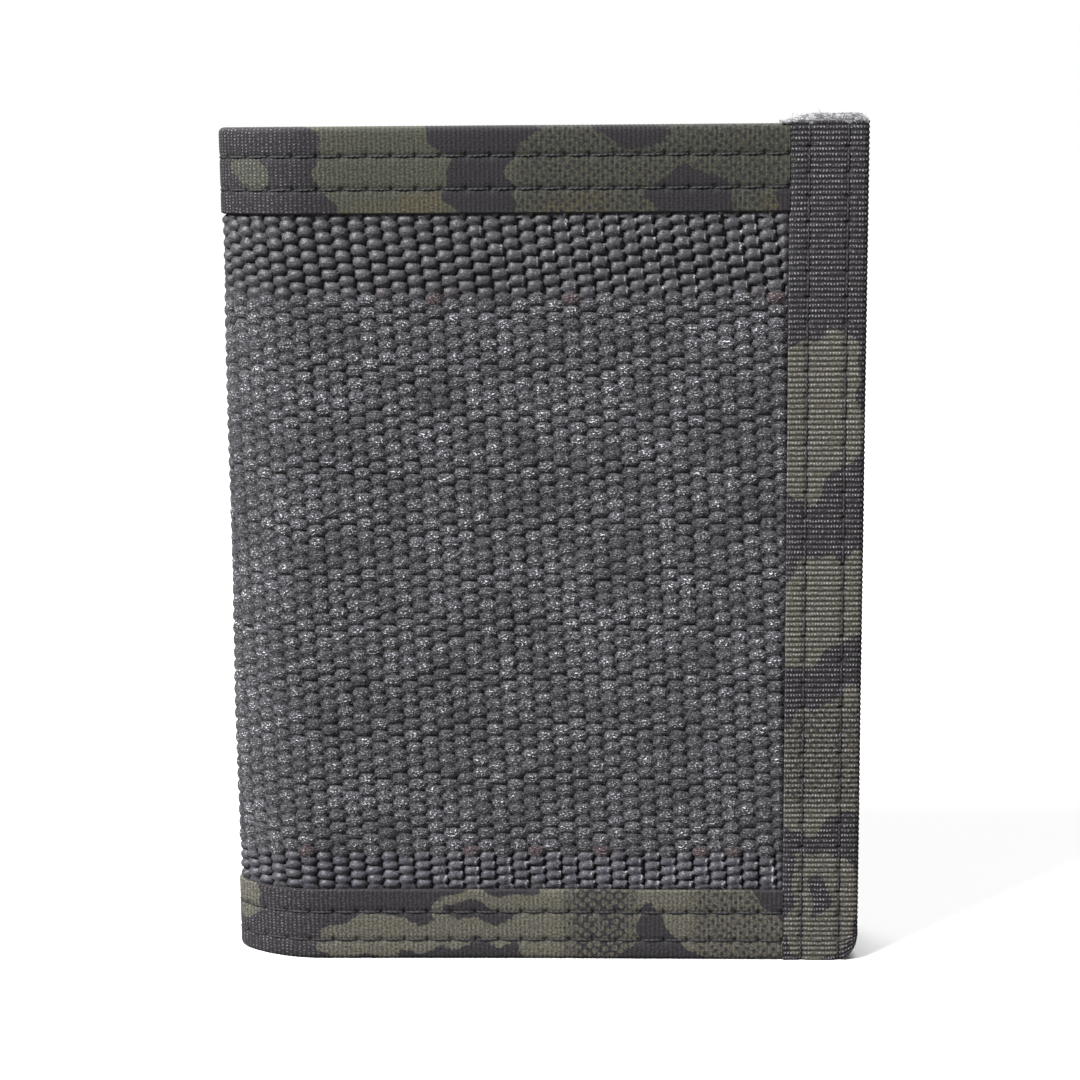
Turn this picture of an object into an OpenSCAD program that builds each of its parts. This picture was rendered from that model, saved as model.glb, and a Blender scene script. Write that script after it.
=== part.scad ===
// Trifold wallet in wide woven webbing, bound with folded tape, shown closed and standing.
// X runs left to right, Y runs from the front face to the back face, Z is up.
// The front flap folds at the left, and the inner flap folds at the right, under it.

/* [Closed wallet] */
// Width over the left fold and the bound free edge
closed_w = 78; // [76:1:84]
// Height from bottom edge to top edge
closed_h = 103; // [100:1:110]
// Width of the inner flap, from its fold to its free edge
inner_flap_w = 57; // [50:1:58]

/* [Webbing] */
// Thickness of the shell webbing
webbing_t = 2.2; // [1.8:0.1:2.4]
// Outer radius of the gentle part of a fold
fold_main_r = 14.5; // [13:0.5:16]
// Outer radius of the tight part of a fold
fold_tip_r = 3.2; // [3:0.1:3.6]
// Angle that the gentle part turns through before the tight part takes over
fold_main_angle = 42; // [36:1:46]

/* [Binding tape] */
// Thickness of the binding tape
tape_t = 0.5; // [0.4:0.1:0.6]
// Height of the tape along the top edge
top_tape_w = 10.3; // [8:0.1:11]
// Height of the tape along the bottom edge
bottom_tape_w = 9; // [8:0.1:10]
// Width of the tape along a free edge
end_tape_w = 9.3; // [8:0.1:11]
// How far the folded end of the front flap's edge tape stands above the shell
end_tape_rise = 1.2; // [0.6:0.1:1.5]
// Radius of the front flap's lower free corner
corner_r = 3; // [2:0.5:4]

/* [Lining and pockets] */
// Thickness of the lining and pocket cloth
cloth_t = 0.4; // [0.3:0.05:0.45]
// Slack between the webbing and the lining on the two flaps
lining_gap = 0.5; // [0.45:0.05:0.6]
// Depth of the bill compartment behind the card pockets
bill_gap = 5.2; // [5:0.1:6]
// How far the mouth of the bill compartment is below the top edge
mouth_drop = 12; // [11.5:0.5:16]
// Width of the narrow tape on the mouth of the bill compartment
mouth_tape_w = 6; // [4:0.5:8]
// Thickness of the narrow tape
thin_tape_t = 0.35; // [0.3:0.05:0.4]
// Width of the card pocket block on the back panel
pocket_block_w = 62; // [58:1:62]
// Height of the foot of the card pockets
pocket_foot_z = 15; // [14:1:18]
// Height of the mouth of the rear card pocket
rear_mouth_z = 82; // [78:1:84]
// Step down from one card pocket's mouth to the next
pocket_step = 10; // [7:1:12]
// Width of the identity window
window_w = 42; // [36:1:46]
// Height of the identity window
window_h = 33; // [24:1:35]
// Thickness of the clear film
film_t = 0.2; // [0.15:0.05:0.3]

/* [Closure] */
// Thickness of each half of the hook and loop closure
closure_t = 0.95; // [0.7:0.05:0.95]
// Width of the hook strip
hook_w = 13.5; // [10:0.5:14]
// Height of the hook strip
hook_h = 70; // [50:1:75]

/* [Hidden] */
$fn = 64;

webbing_colour = [0.10, 0.10, 0.11];
tape_colour = [0.20, 0.20, 0.16];
lining_colour = [0.07, 0.07, 0.08];
hook_colour = [0.05, 0.05, 0.05];
film_colour = [0.80, 0.85, 0.88, 0.35];

// Air between the front flap and the inner flap, which the closure fills
flap_air = 1.2;
// Air between the inner flap and the card pockets
pocket_air = 1;
// Air between two card pockets, and a card pocket and the lining
sheet_air = 0.1;
// How far the right fold stops short of the front flap's free edge
fold_inset = 1;
// Air between a fold's lining and the tape above and below it
fold_lining_air = 0.3;
// How far back the slack lining hangs beside the card pockets
slack_depth = 3;
// Width of the loop strip beyond the hook strip, on each side
loop_margin = 2;
// Height of the slip pockets on the two flaps
front_slip_h = 66;
inner_slip_h = 58;
// Width of the narrow tapes down the sides of the card pockets
side_tape_w = 4;
// Height over which the bill compartment's lining comes forward above the bottom tape
skirt_rise = 5;
// Half the height of the bend at the head of that slant, and of the one at its foot
skirt_bend = 1;
// How far outside the card pockets the slack lining turns
slack_reach = 1;
// Depth of the slack lining where it turns, as a share of the cloth's thickness
slack_share = 1.5;
// How far the clear film reaches under the cloth round the window
film_overlap = 3;
// How far a cutting shape reaches past what it cuts
cut_over = 1;

// Layers from the front face to the back face
front_web_y = tape_t;
front_lining_y = front_web_y + webbing_t + lining_gap;
front_pocket_y = front_lining_y + cloth_t;
front_inner_y = front_pocket_y + cloth_t;
inner_tape_y = front_inner_y + tape_t + flap_air;
inner_web_y = inner_tape_y + tape_t;
inner_lining_y = inner_web_y + webbing_t + lining_gap;
inner_pocket_y = inner_lining_y + cloth_t;
inner_face_y = inner_pocket_y + cloth_t;
card_front_y = inner_face_y + tape_t + pocket_air;
film_y = card_front_y + cloth_t;
card_middle_y = film_y + film_t + sheet_air;
card_rear_y = card_middle_y + cloth_t + sheet_air;
back_lining_y = card_rear_y + cloth_t + sheet_air;
back_web_y = back_lining_y + cloth_t + bill_gap;
back_face_y = back_web_y + webbing_t;
closed_t = back_face_y + tape_t;

// Each fold is a gentle arc, a tight arc, a short flat spine, and the same again
main_x = fold_main_r * sin(fold_main_angle);
main_y = fold_main_r * (1 - cos(fold_main_angle));
fold_x = main_x + fold_tip_r * (1 - sin(fold_main_angle));
fold_y = main_y + fold_tip_r * cos(fold_main_angle);
fold_tip_x = -(fold_main_r - fold_tip_r) * sin(fold_main_angle);
// Straight steps along each arc of a fold
fold_steps = 7;

left_x = -closed_w / 2;
right_x = closed_w / 2;
left_spine_x = left_x + tape_t;
right_spine_x = right_x - fold_inset - tape_t;
left_end_x = left_spine_x + fold_x;
right_end_x = right_spine_x - fold_x;
inner_free_x = right_spine_x + tape_t - inner_flap_w;
left_spine_y0 = front_web_y + fold_y;
right_spine_y0 = inner_web_y + fold_y;
spine_y1 = back_face_y - fold_y;

lining_top_z = closed_h - mouth_drop;
fold_lining_z = bottom_tape_w + fold_lining_air;
block_x = pocket_block_w / 2;
flap_core = webbing_t + lining_gap + 2 * cloth_t;
hook_x = right_end_x - loop_margin - hook_w;
window_z = pocket_foot_z + (rear_mouth_z - 2 * pocket_step - pocket_foot_z - window_h) / 2;

// A box between two corners, with y counted from the wallet's front face
module slab(low, high) {
    translate([low[0], low[1] - closed_t / 2, low[2]])
        cube(high - low);
}

// Places a fold's quarter, with side -1 left or 1 right, and face -1 front or 1 back
module at_fold(end_x, face_y, side, face) {
    translate([end_x, face_y - closed_t / 2, 0])
        mirror([side > 0 ? 1 : 0, 0, 0])
            mirror([0, face > 0 ? 1 : 0, 0])
                children();
}

// Points along a fold's quarter at a depth below the webbing's outer face
function fold_points(depth) = concat(
    [for (i = [0:fold_steps])
        let (a = 270 - fold_main_angle * i / fold_steps)
        [(fold_main_r - depth) * cos(a), fold_main_r + (fold_main_r - depth) * sin(a)]],
    [for (i = [1:fold_steps])
        let (a = 270 - fold_main_angle - (90 - fold_main_angle) * i / fold_steps)
        [fold_tip_x + (fold_tip_r - depth) * cos(a), fold_y + (fold_tip_r - depth) * sin(a)]]
);

// A wall bent along a fold's quarter, between two depths below the webbing's outer face
module bent_wall(depth0, depth1, z0, z1) {
    outer = fold_points(depth0);
    inner = fold_points(depth1);
    last = len(inner) - 1;
    translate([0, 0, z0])
        linear_extrude(z1 - z0)
            polygon(concat(outer, [for (i = [0:last]) inner[last - i]]));
}

// The tapes of a fold's quarter, folded over the webbing's top and bottom edges
module bent_tapes() {
    difference() {
        bent_wall(-tape_t, webbing_t + tape_t, 0, bottom_tape_w);
        bent_wall(0, webbing_t, tape_t, bottom_tape_w + cut_over);
    }
    difference() {
        bent_wall(-tape_t, webbing_t + tape_t, closed_h - top_tape_w, closed_h);
        bent_wall(0, webbing_t, closed_h - top_tape_w - cut_over, closed_h - tape_t);
    }
}

// A tape folded over a straight bottom edge, whose core starts at depth y and is core thick
module bottom_binding(x0, x1, y, core) {
    slab([x0, y - tape_t, 0], [x1, y, bottom_tape_w]);
    slab([x0, y + core, 0], [x1, y + core + tape_t, bottom_tape_w]);
    slab([x0, y - tape_t, 0], [x1, y + core + tape_t, tape_t]);
}

// A tape folded over the webbing's straight top edge
module top_binding(x0, x1, y) {
    low = closed_h - top_tape_w;
    slab([x0, y - tape_t, low], [x1, y, closed_h]);
    slab([x0, y + webbing_t, low], [x1, y + webbing_t + tape_t, closed_h]);
    slab([x0, y - tape_t, closed_h - tape_t], [x1, y + webbing_t + tape_t, closed_h]);
}

// A narrow tape folded over the top edge of a lining
module mouth_binding(x0, x1, y) {
    low = lining_top_z - mouth_tape_w;
    top = lining_top_z + thin_tape_t;
    slab([x0, y - thin_tape_t, low], [x1, y, top]);
    slab([x0, y + cloth_t, low], [x1, y + cloth_t + thin_tape_t, top]);
    slab([x0, y - thin_tape_t, lining_top_z], [x1, y + cloth_t + thin_tape_t, top]);
}

// A narrow tape folded over a side edge of the card pockets, with its fold at x
module side_binding(x, side) {
    y0 = card_front_y;
    y1 = back_lining_y + cloth_t;
    edge = x + side * thin_tape_t;
    inner = x - side * side_tape_w;
    z0 = pocket_foot_z;
    z1 = lining_top_z - mouth_tape_w;
    slab([min(edge, inner), y0 - thin_tape_t, z0], [max(edge, inner), y0, z1]);
    slab([min(edge, inner), y1, z0], [max(edge, inner), y1 + thin_tape_t, z1]);
    slab([min(edge, x), y0 - thin_tape_t, z0], [max(edge, x), y1 + thin_tape_t, z1]);
}

// The material outside a rounded lower right corner
module corner_waste(r) {
    difference() {
        translate([right_x - corner_r, -closed_t, -cut_over])
            cube([corner_r + cut_over, 2 * closed_t, corner_r + cut_over]);
        translate([right_x - corner_r, 0, corner_r])
            rotate([90, 0, 0])
                cylinder(r = r, h = 3 * closed_t, center = true);
    }
}

// A spine's flat webbing, between two depths below its outer face
module spine_wall(x, side, y0, depth0, depth1, z0, z1) {
    xa = x - side * depth0;
    xb = x - side * depth1;
    slab([min(xa, xb), y0, z0], [max(xa, xb), spine_y1, z1]);
}

module spine_tapes(x, side, y0) {
    for (span = [[0, bottom_tape_w, 0], [closed_h - top_tape_w, closed_h, closed_h - tape_t]]) {
        spine_wall(x, side, y0, -tape_t, 0, span[0], span[1]);
        spine_wall(x, side, y0, webbing_t, webbing_t + tape_t, span[0], span[1]);
        spine_wall(x, side, y0, -tape_t, webbing_t + tape_t, span[2], span[2] + tape_t);
    }
}

// The slack lining between the card pocket block and a spine, drawn as two flat runs
module back_fold_lining(spine_x, side) {
    spine_in = spine_x - side * (webbing_t + lining_gap);
    spine_face = spine_in - side * cloth_t;
    half = closed_t / 2;
    edge = side * (block_x + thin_tape_t);
    low = back_lining_y - half;
    far = spine_y1 - half;
    kink = edge + side * slack_reach;
    kink_y = low + slack_depth;
    translate([0, 0, fold_lining_z])
        linear_extrude(lining_top_z - fold_lining_z)
            polygon([
                [edge, low], [kink, kink_y], [spine_face, far], [spine_in, far],
                [spine_in, far + cloth_t], [kink, kink_y + slack_share * cloth_t], [edge, low + cloth_t]
            ]);
}

// Back panel
module back_shell() {
    color(webbing_colour)
        slab([left_end_x, back_web_y, tape_t], [right_end_x, back_face_y, closed_h - tape_t]);
}

module back_top_tape() {
    color(tape_colour) top_binding(left_end_x, right_end_x, back_web_y);
}

module back_bottom_tape() {
    color(tape_colour)
        bottom_binding(left_end_x, right_end_x, back_web_y - cloth_t, webbing_t + cloth_t);
}

module back_lining() {
    foot = back_web_y - cloth_t - closed_t / 2;
    belly = back_lining_y - closed_t / 2;
    bend_z = bottom_tape_w + skirt_rise;
    color(lining_colour) {
        slab([-block_x, back_lining_y, bend_z], [block_x, back_lining_y + cloth_t, lining_top_z]);
        translate([right_end_x, 0, 0])
            rotate([0, -90, 0])
                linear_extrude(right_end_x - left_end_x)
                    polygon([
                        [tape_t, foot], [bottom_tape_w, foot],
                        [bend_z - skirt_bend, belly], [bend_z + skirt_bend, belly],
                        [bend_z + skirt_bend, belly + cloth_t], [bottom_tape_w + skirt_bend, foot + cloth_t],
                        [tape_t, foot + cloth_t]
                    ]);
    }
}

module back_lining_mouth_tape() {
    color(tape_colour) mouth_binding(-block_x, block_x, back_lining_y);
}

module card_pocket(y, mouth_z) {
    slab([-block_x, y, pocket_foot_z], [block_x, y + cloth_t, mouth_z]);
}

module card_pocket_rear() {
    color(lining_colour) card_pocket(card_rear_y, rear_mouth_z);
}

module card_pocket_middle() {
    color(lining_colour) card_pocket(card_middle_y, rear_mouth_z - pocket_step);
}

module card_pocket_front() {
    color(lining_colour)
        difference() {
            card_pocket(card_front_y, rear_mouth_z - 2 * pocket_step);
            slab([-window_w / 2, card_front_y - cut_over, window_z],
                 [window_w / 2, card_front_y + cloth_t + cut_over, window_z + window_h]);
        }
}

module id_window_film() {
    color(film_colour)
        slab([-window_w / 2 - film_overlap, film_y, window_z - film_overlap],
             [window_w / 2 + film_overlap, film_y + film_t, window_z + window_h + film_overlap]);
}

module pocket_left_tape() {
    color(tape_colour) side_binding(-block_x, -1);
}

module pocket_right_tape() {
    color(tape_colour) side_binding(block_x, 1);
}

// Left fold, back quarter
module left_fold_back_web() {
    color(webbing_colour)
        at_fold(left_end_x, back_face_y, -1, 1) bent_wall(0, webbing_t, tape_t, closed_h - tape_t);
}

module left_fold_back_tapes() {
    color(tape_colour) at_fold(left_end_x, back_face_y, -1, 1) bent_tapes();
}

module left_fold_back_lining() {
    color(lining_colour) back_fold_lining(left_spine_x, -1);
}

// Right fold, back quarter
module right_fold_back_web() {
    color(webbing_colour)
        at_fold(right_end_x, back_face_y, 1, 1) bent_wall(0, webbing_t, tape_t, closed_h - tape_t);
}

module right_fold_back_tapes() {
    color(tape_colour) at_fold(right_end_x, back_face_y, 1, 1) bent_tapes();
}

module right_fold_back_lining() {
    color(lining_colour) back_fold_lining(right_spine_x, 1);
}

// Left spine
module left_spine_shell() {
    color(webbing_colour)
        spine_wall(left_spine_x, -1, left_spine_y0, 0, webbing_t, tape_t, closed_h - tape_t);
}

module left_spine_tapes() {
    color(tape_colour) spine_tapes(left_spine_x, -1, left_spine_y0);
}

module left_spine_lining() {
    depth = webbing_t + lining_gap;
    color(lining_colour)
        spine_wall(left_spine_x, -1, left_spine_y0, depth, depth + cloth_t, fold_lining_z, lining_top_z);
}

// Front flap
module front_shell() {
    color(webbing_colour)
        difference() {
            slab([left_end_x, front_web_y, tape_t],
                 [right_x - tape_t, front_web_y + webbing_t, closed_h - tape_t]);
            corner_waste(corner_r - tape_t);
        }
}

module front_top_tape() {
    color(tape_colour) top_binding(left_end_x, right_x - end_tape_w, front_web_y);
}

module front_bottom_tape() {
    color(tape_colour)
        bottom_binding(left_end_x, right_x - end_tape_w, front_web_y, flap_core);
}

module front_end_tape() {
    x0 = right_x - end_tape_w;
    top = closed_h + end_tape_rise;
    y1 = front_web_y + flap_core;
    color(tape_colour)
        difference() {
            union() {
                slab([x0, 0, 0], [right_x, tape_t, top]);
                slab([x0, y1, 0], [right_x, y1 + tape_t, top]);
                slab([right_x - tape_t, 0, 0], [right_x, y1 + tape_t, top]);
                slab([x0, 0, 0], [right_x, y1 + tape_t, tape_t]);
                slab([x0, 0, closed_h - tape_t], [right_x, y1 + tape_t, top]);
                intersection() {
                    slab([right_x - corner_r, 0, 0], [right_x, y1 + tape_t, corner_r]);
                    corner_waste(corner_r - tape_t);
                }
            }
            corner_waste(corner_r);
        }
}

module front_lining() {
    color(lining_colour)
        difference() {
            slab([left_end_x, front_lining_y, tape_t],
                 [right_x - tape_t, front_lining_y + cloth_t, lining_top_z]);
            corner_waste(corner_r - tape_t);
        }
}

module front_lining_mouth_tape() {
    color(tape_colour) mouth_binding(left_end_x, right_x - end_tape_w, front_lining_y);
}

module front_slip_pocket() {
    color(lining_colour)
        difference() {
            slab([left_end_x, front_pocket_y, tape_t],
                 [right_x - tape_t, front_pocket_y + cloth_t, front_slip_h]);
            corner_waste(corner_r - tape_t);
        }
}

module hook_strip() {
    z0 = (closed_h - hook_h) / 2;
    color(hook_colour)
        slab([hook_x, front_inner_y, z0], [hook_x + hook_w, front_inner_y + closure_t, z0 + hook_h]);
}

// Left fold, front quarter
module left_fold_front_web() {
    color(webbing_colour)
        at_fold(left_end_x, front_web_y, -1, -1) bent_wall(0, webbing_t, tape_t, closed_h - tape_t);
}

module left_fold_front_tapes() {
    color(tape_colour) at_fold(left_end_x, front_web_y, -1, -1) bent_tapes();
}

module left_fold_front_lining() {
    depth = webbing_t + lining_gap;
    color(lining_colour)
        at_fold(left_end_x, front_web_y, -1, -1)
            bent_wall(depth, depth + cloth_t, fold_lining_z, lining_top_z);
}

// Right spine
module right_spine_shell() {
    color(webbing_colour)
        spine_wall(right_spine_x, 1, right_spine_y0, 0, webbing_t, tape_t, closed_h - tape_t);
}

module right_spine_tapes() {
    color(tape_colour) spine_tapes(right_spine_x, 1, right_spine_y0);
}

module right_spine_lining() {
    depth = webbing_t + lining_gap;
    color(lining_colour)
        spine_wall(right_spine_x, 1, right_spine_y0, depth, depth + cloth_t, fold_lining_z, lining_top_z);
}

// Inner flap
module inner_shell() {
    color(webbing_colour)
        slab([inner_free_x + tape_t, inner_web_y, tape_t],
             [right_end_x, inner_web_y + webbing_t, closed_h - tape_t]);
}

module inner_top_tape() {
    color(tape_colour) top_binding(inner_free_x + end_tape_w, right_end_x, inner_web_y);
}

module inner_bottom_tape() {
    color(tape_colour)
        bottom_binding(inner_free_x + end_tape_w, right_end_x, inner_web_y, flap_core);
}

module inner_end_tape() {
    x0 = inner_free_x;
    x1 = inner_free_x + end_tape_w;
    y0 = inner_tape_y;
    y1 = inner_web_y + flap_core;
    color(tape_colour) {
        slab([x0, y0, 0], [x1, y0 + tape_t, closed_h]);
        slab([x0, y1, 0], [x1, y1 + tape_t, closed_h]);
        slab([x0, y0, 0], [x0 + tape_t, y1 + tape_t, closed_h]);
        slab([x0, y0, 0], [x1, y1 + tape_t, tape_t]);
        slab([x0, y0, closed_h - tape_t], [x1, y1 + tape_t, closed_h]);
    }
}

module inner_lining() {
    color(lining_colour)
        slab([inner_free_x + tape_t, inner_lining_y, tape_t],
             [right_end_x, inner_lining_y + cloth_t, lining_top_z]);
}

module inner_lining_mouth_tape() {
    color(tape_colour) mouth_binding(inner_free_x + end_tape_w, right_end_x, inner_lining_y);
}

module inner_slip_pocket() {
    color(lining_colour)
        slab([inner_free_x + tape_t, inner_pocket_y, tape_t],
             [right_end_x, inner_pocket_y + cloth_t, inner_slip_h]);
}

module loop_strip() {
    h = hook_h + 2 * loop_margin;
    z0 = (closed_h - h) / 2;
    x0 = hook_x - loop_margin;
    x1 = hook_x + hook_w + loop_margin;
    color(hook_colour) slab([x0, inner_web_y - closure_t, z0], [x1, inner_web_y, z0 + h]);
}

// Right fold, front quarter
module right_fold_front_web() {
    color(webbing_colour)
        at_fold(right_end_x, inner_web_y, 1, -1) bent_wall(0, webbing_t, tape_t, closed_h - tape_t);
}

module right_fold_front_tapes() {
    color(tape_colour) at_fold(right_end_x, inner_web_y, 1, -1) bent_tapes();
}

module right_fold_front_lining() {
    depth = webbing_t + lining_gap;
    color(lining_colour)
        at_fold(right_end_x, inner_web_y, 1, -1)
            bent_wall(depth, depth + cloth_t, fold_lining_z, lining_top_z);
}

back_shell();
back_top_tape();
back_bottom_tape();
back_lining();
back_lining_mouth_tape();
card_pocket_rear();
card_pocket_middle();
card_pocket_front();
id_window_film();
pocket_left_tape();
pocket_right_tape();
left_fold_back_web();
left_fold_back_tapes();
left_fold_back_lining();
right_fold_back_web();
right_fold_back_tapes();
right_fold_back_lining();
left_spine_shell();
left_spine_tapes();
left_spine_lining();
front_shell();
front_top_tape();
front_bottom_tape();
front_end_tape();
front_lining();
front_lining_mouth_tape();
front_slip_pocket();
hook_strip();
left_fold_front_web();
left_fold_front_tapes();
left_fold_front_lining();
right_spine_shell();
right_spine_tapes();
right_spine_lining();
inner_shell();
inner_top_tape();
inner_bottom_tape();
inner_end_tape();
inner_lining();
inner_lining_mouth_tape();
inner_slip_pocket();
loop_strip();
right_fold_front_web();
right_fold_front_tapes();
right_fold_front_lining();
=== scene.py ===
import math

import bpy
import numpy as np
from mathutils import Matrix, Vector


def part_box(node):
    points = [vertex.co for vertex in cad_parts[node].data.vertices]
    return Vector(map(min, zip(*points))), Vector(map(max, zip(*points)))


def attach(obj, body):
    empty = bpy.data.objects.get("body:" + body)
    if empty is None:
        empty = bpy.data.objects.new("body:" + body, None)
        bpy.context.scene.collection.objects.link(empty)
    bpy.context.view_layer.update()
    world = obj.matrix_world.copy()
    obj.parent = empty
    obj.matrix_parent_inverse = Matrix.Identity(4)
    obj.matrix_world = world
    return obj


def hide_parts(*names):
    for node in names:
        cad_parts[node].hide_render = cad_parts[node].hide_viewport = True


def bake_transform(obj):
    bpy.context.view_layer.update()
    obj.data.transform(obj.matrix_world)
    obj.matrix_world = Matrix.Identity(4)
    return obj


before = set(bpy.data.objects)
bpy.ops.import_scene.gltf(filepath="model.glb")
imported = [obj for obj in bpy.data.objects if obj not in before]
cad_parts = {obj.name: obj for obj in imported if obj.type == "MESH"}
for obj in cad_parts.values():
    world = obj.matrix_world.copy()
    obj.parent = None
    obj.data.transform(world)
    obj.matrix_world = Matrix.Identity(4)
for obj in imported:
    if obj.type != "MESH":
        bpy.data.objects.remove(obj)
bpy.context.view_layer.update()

# Lengths are in millimetres until a mesh is made. MM turns them into metres.
MM = 0.001
rng = np.random.default_rng(11)


def box_mm(node):
    """A CAD node's lowest and highest corners, in millimetres."""
    low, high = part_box(node)
    return np.array(low) / MM, np.array(high) / MM


# ---------------------------------------------------------------- sizes, from the frame

FRONT_LOW, FRONT_HIGH = box_mm("front_shell")
LEFT_SPINE_LOW, LEFT_SPINE_HIGH = box_mm("left_spine_shell")
BACK_LOW, BACK_HIGH = box_mm("back_shell")
RIGHT_SPINE_LOW, RIGHT_SPINE_HIGH = box_mm("right_spine_shell")
INNER_LOW, INNER_HIGH = box_mm("inner_shell")
TOP_TAPE_LOW, TOP_TAPE_HIGH = box_mm("front_top_tape")
END_TAPE_LOW, END_TAPE_HIGH = box_mm("front_end_tape")
BACK_BOTTOM_LOW, BACK_BOTTOM_HIGH = box_mm("back_bottom_tape")
LINING_LOW, LINING_HIGH = box_mm("front_lining")
MOUTH_LOW, MOUTH_HIGH = box_mm("front_lining_mouth_tape")

WEB_T = FRONT_HIGH[1] - FRONT_LOW[1]
TAPE_T = FRONT_LOW[1] - END_TAPE_LOW[1]
CLOTH_T = LINING_HIGH[1] - LINING_LOW[1]
THIN_T = LINING_LOW[1] - MOUTH_LOW[1]
CLOSED_H = TOP_TAPE_HIGH[2]
TOP_W = TOP_TAPE_HIGH[2] - TOP_TAPE_LOW[2]
BOTTOM_W = box_mm("front_bottom_tape")[1][2]
END_W = END_TAPE_HIGH[0] - END_TAPE_LOW[0]
END_TOP = END_TAPE_HIGH[2]
WEB_Z0 = FRONT_LOW[2]
WEB_Z1 = FRONT_HIGH[2]
LINING_DEPTH = LINING_LOW[1] - FRONT_LOW[1]
FLAP_CORE = END_TAPE_HIGH[1] - END_TAPE_LOW[1] - 2 * TAPE_T
BACK_CORE = BACK_BOTTOM_HIGH[1] - BACK_BOTTOM_LOW[1] - 2 * TAPE_T
CORNER_R = 3.0

# A fold's quarter is a gentle arc and then a tight one. Its two radii follow from its size.
FOLD_MAIN_ANGLE = math.radians(42)
FOLD_TIP_ANGLE = math.pi / 2 - FOLD_MAIN_ANGLE
FOLD_X = FRONT_LOW[0] - LEFT_SPINE_LOW[0]
FOLD_Y = LEFT_SPINE_LOW[1] - FRONT_LOW[1]
FOLD_MAIN_R, FOLD_TIP_R = np.linalg.solve(
    [[math.sin(FOLD_MAIN_ANGLE), 1 - math.sin(FOLD_MAIN_ANGLE)],
     [1 - math.cos(FOLD_MAIN_ANGLE), math.cos(FOLD_MAIN_ANGLE)]],
    [FOLD_X, FOLD_Y],
)

# ---------------------------------------------------------------- the strip's path

# The webbing is one strip. s runs along its outer face, from the front flap's free edge,
# round the left fold, along the back, round the right fold and to the inner flap's free edge.
# A step is (length, radius), and its radius is 0 where it is straight.
INTO_SPINE = [(FOLD_MAIN_R * FOLD_MAIN_ANGLE, FOLD_MAIN_R), (FOLD_TIP_R * FOLD_TIP_ANGLE, FOLD_TIP_R)]
OUT_OF_SPINE = INTO_SPINE[::-1]
STEPS = {
    "front": [(FRONT_HIGH[0] - FRONT_LOW[0], 0)],
    "left_fold_front": INTO_SPINE,
    "left_spine": [(LEFT_SPINE_HIGH[1] - LEFT_SPINE_LOW[1], 0)],
    "left_fold_back": OUT_OF_SPINE,
    "back": [(BACK_HIGH[0] - BACK_LOW[0], 0)],
    "right_fold_back": INTO_SPINE,
    "right_spine": [(RIGHT_SPINE_HIGH[1] - RIGHT_SPINE_LOW[1], 0)],
    "right_fold_front": OUT_OF_SPINE,
    "inner": [(INNER_HIGH[0] - INNER_LOW[0], 0)],
}


def trace_strip():
    """Each step's start (s, x, y, heading) and bend, and each panel's stretch of s."""
    s, x, y, heading = 0.0, FRONT_HIGH[0], FRONT_LOW[1], math.pi
    rows = []
    spans = {}
    for panel, stretches in STEPS.items():
        start = s
        for length, radius in stretches:
            rows.append((s, x, y, heading, radius))
            if radius:
                turned = heading - length / radius
                x += radius * (math.sin(heading) - math.sin(turned))
                y += radius * (math.cos(turned) - math.cos(heading))
                heading = turned
            else:
                x += length * math.cos(heading)
                y += length * math.sin(heading)
            s += length
        spans[panel] = (start, s)
    return np.array(rows), spans


STEP_ROWS, SPAN = trace_strip()
STRIP_END = SPAN["inner"][1]


def on_strip(s, depth, z):
    """Points at length s, at a depth below the outer face, and at height z."""
    s, depth, z = np.broadcast_arrays(*[np.asarray(v, float) for v in (s, depth, z)])
    k = np.clip(np.searchsorted(STEP_ROWS[:, 0], s, side="right") - 1, 0, len(STEP_ROWS) - 1)
    start, x0, y0, heading0, radius = [STEP_ROWS[k, c] for c in range(5)]
    bent = radius > 0
    run = s - start
    heading = heading0 - np.where(bent, run / np.where(bent, radius, 1), 0)
    x = x0 + np.where(bent, radius * (np.sin(heading0) - np.sin(heading)), run * np.cos(heading0))
    y = y0 + np.where(bent, radius * (np.cos(heading) - np.cos(heading0)), run * np.sin(heading0))
    return np.stack([x + depth * np.sin(heading), y - depth * np.cos(heading), z], axis=-1)


def swell(s, z):
    """How far the worn shell stands out of its flat shape, as a slow unevenness."""
    long_wave = np.sin(2 * np.pi * s / 61 + 0.6) * np.sin(np.pi * z / 80 + 0.5)
    short_wave = np.sin(2 * np.pi * s / 23 + 1.0) * np.sin(2 * np.pi * z / 41)
    return 0.16 * long_wave + 0.07 * short_wave


def on_shell(s, depth, z):
    """A point on the worn shell: on the strip, moved out by its unevenness."""
    return on_strip(s, depth - swell(s, z), z)


# ---------------------------------------------------------------- meshes

def signed_volume(tubes):
    """The volume that each tube of closed loops encloses, negative where it is inside out."""
    tubes = tubes - tubes.mean(axis=(1, 2), keepdims=True)
    ahead = np.roll(tubes, -1, axis=2)
    a, b, c, d = tubes[:, :-1], ahead[:, :-1], ahead[:, 1:], tubes[:, 1:]
    volume = (a * np.cross(b, c)).sum((1, 2, 3)) + (a * np.cross(c, d)).sum((1, 2, 3))
    first, last = tubes[:, 0], tubes[:, -1]
    for ring, sign in ((first, -1), (last, 1)):
        fan = np.cross(ring[:, 1:-1], ring[:, 2:])
        volume += sign * (ring[:, :1] * fan).sum((1, 2))
    return volume


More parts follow.
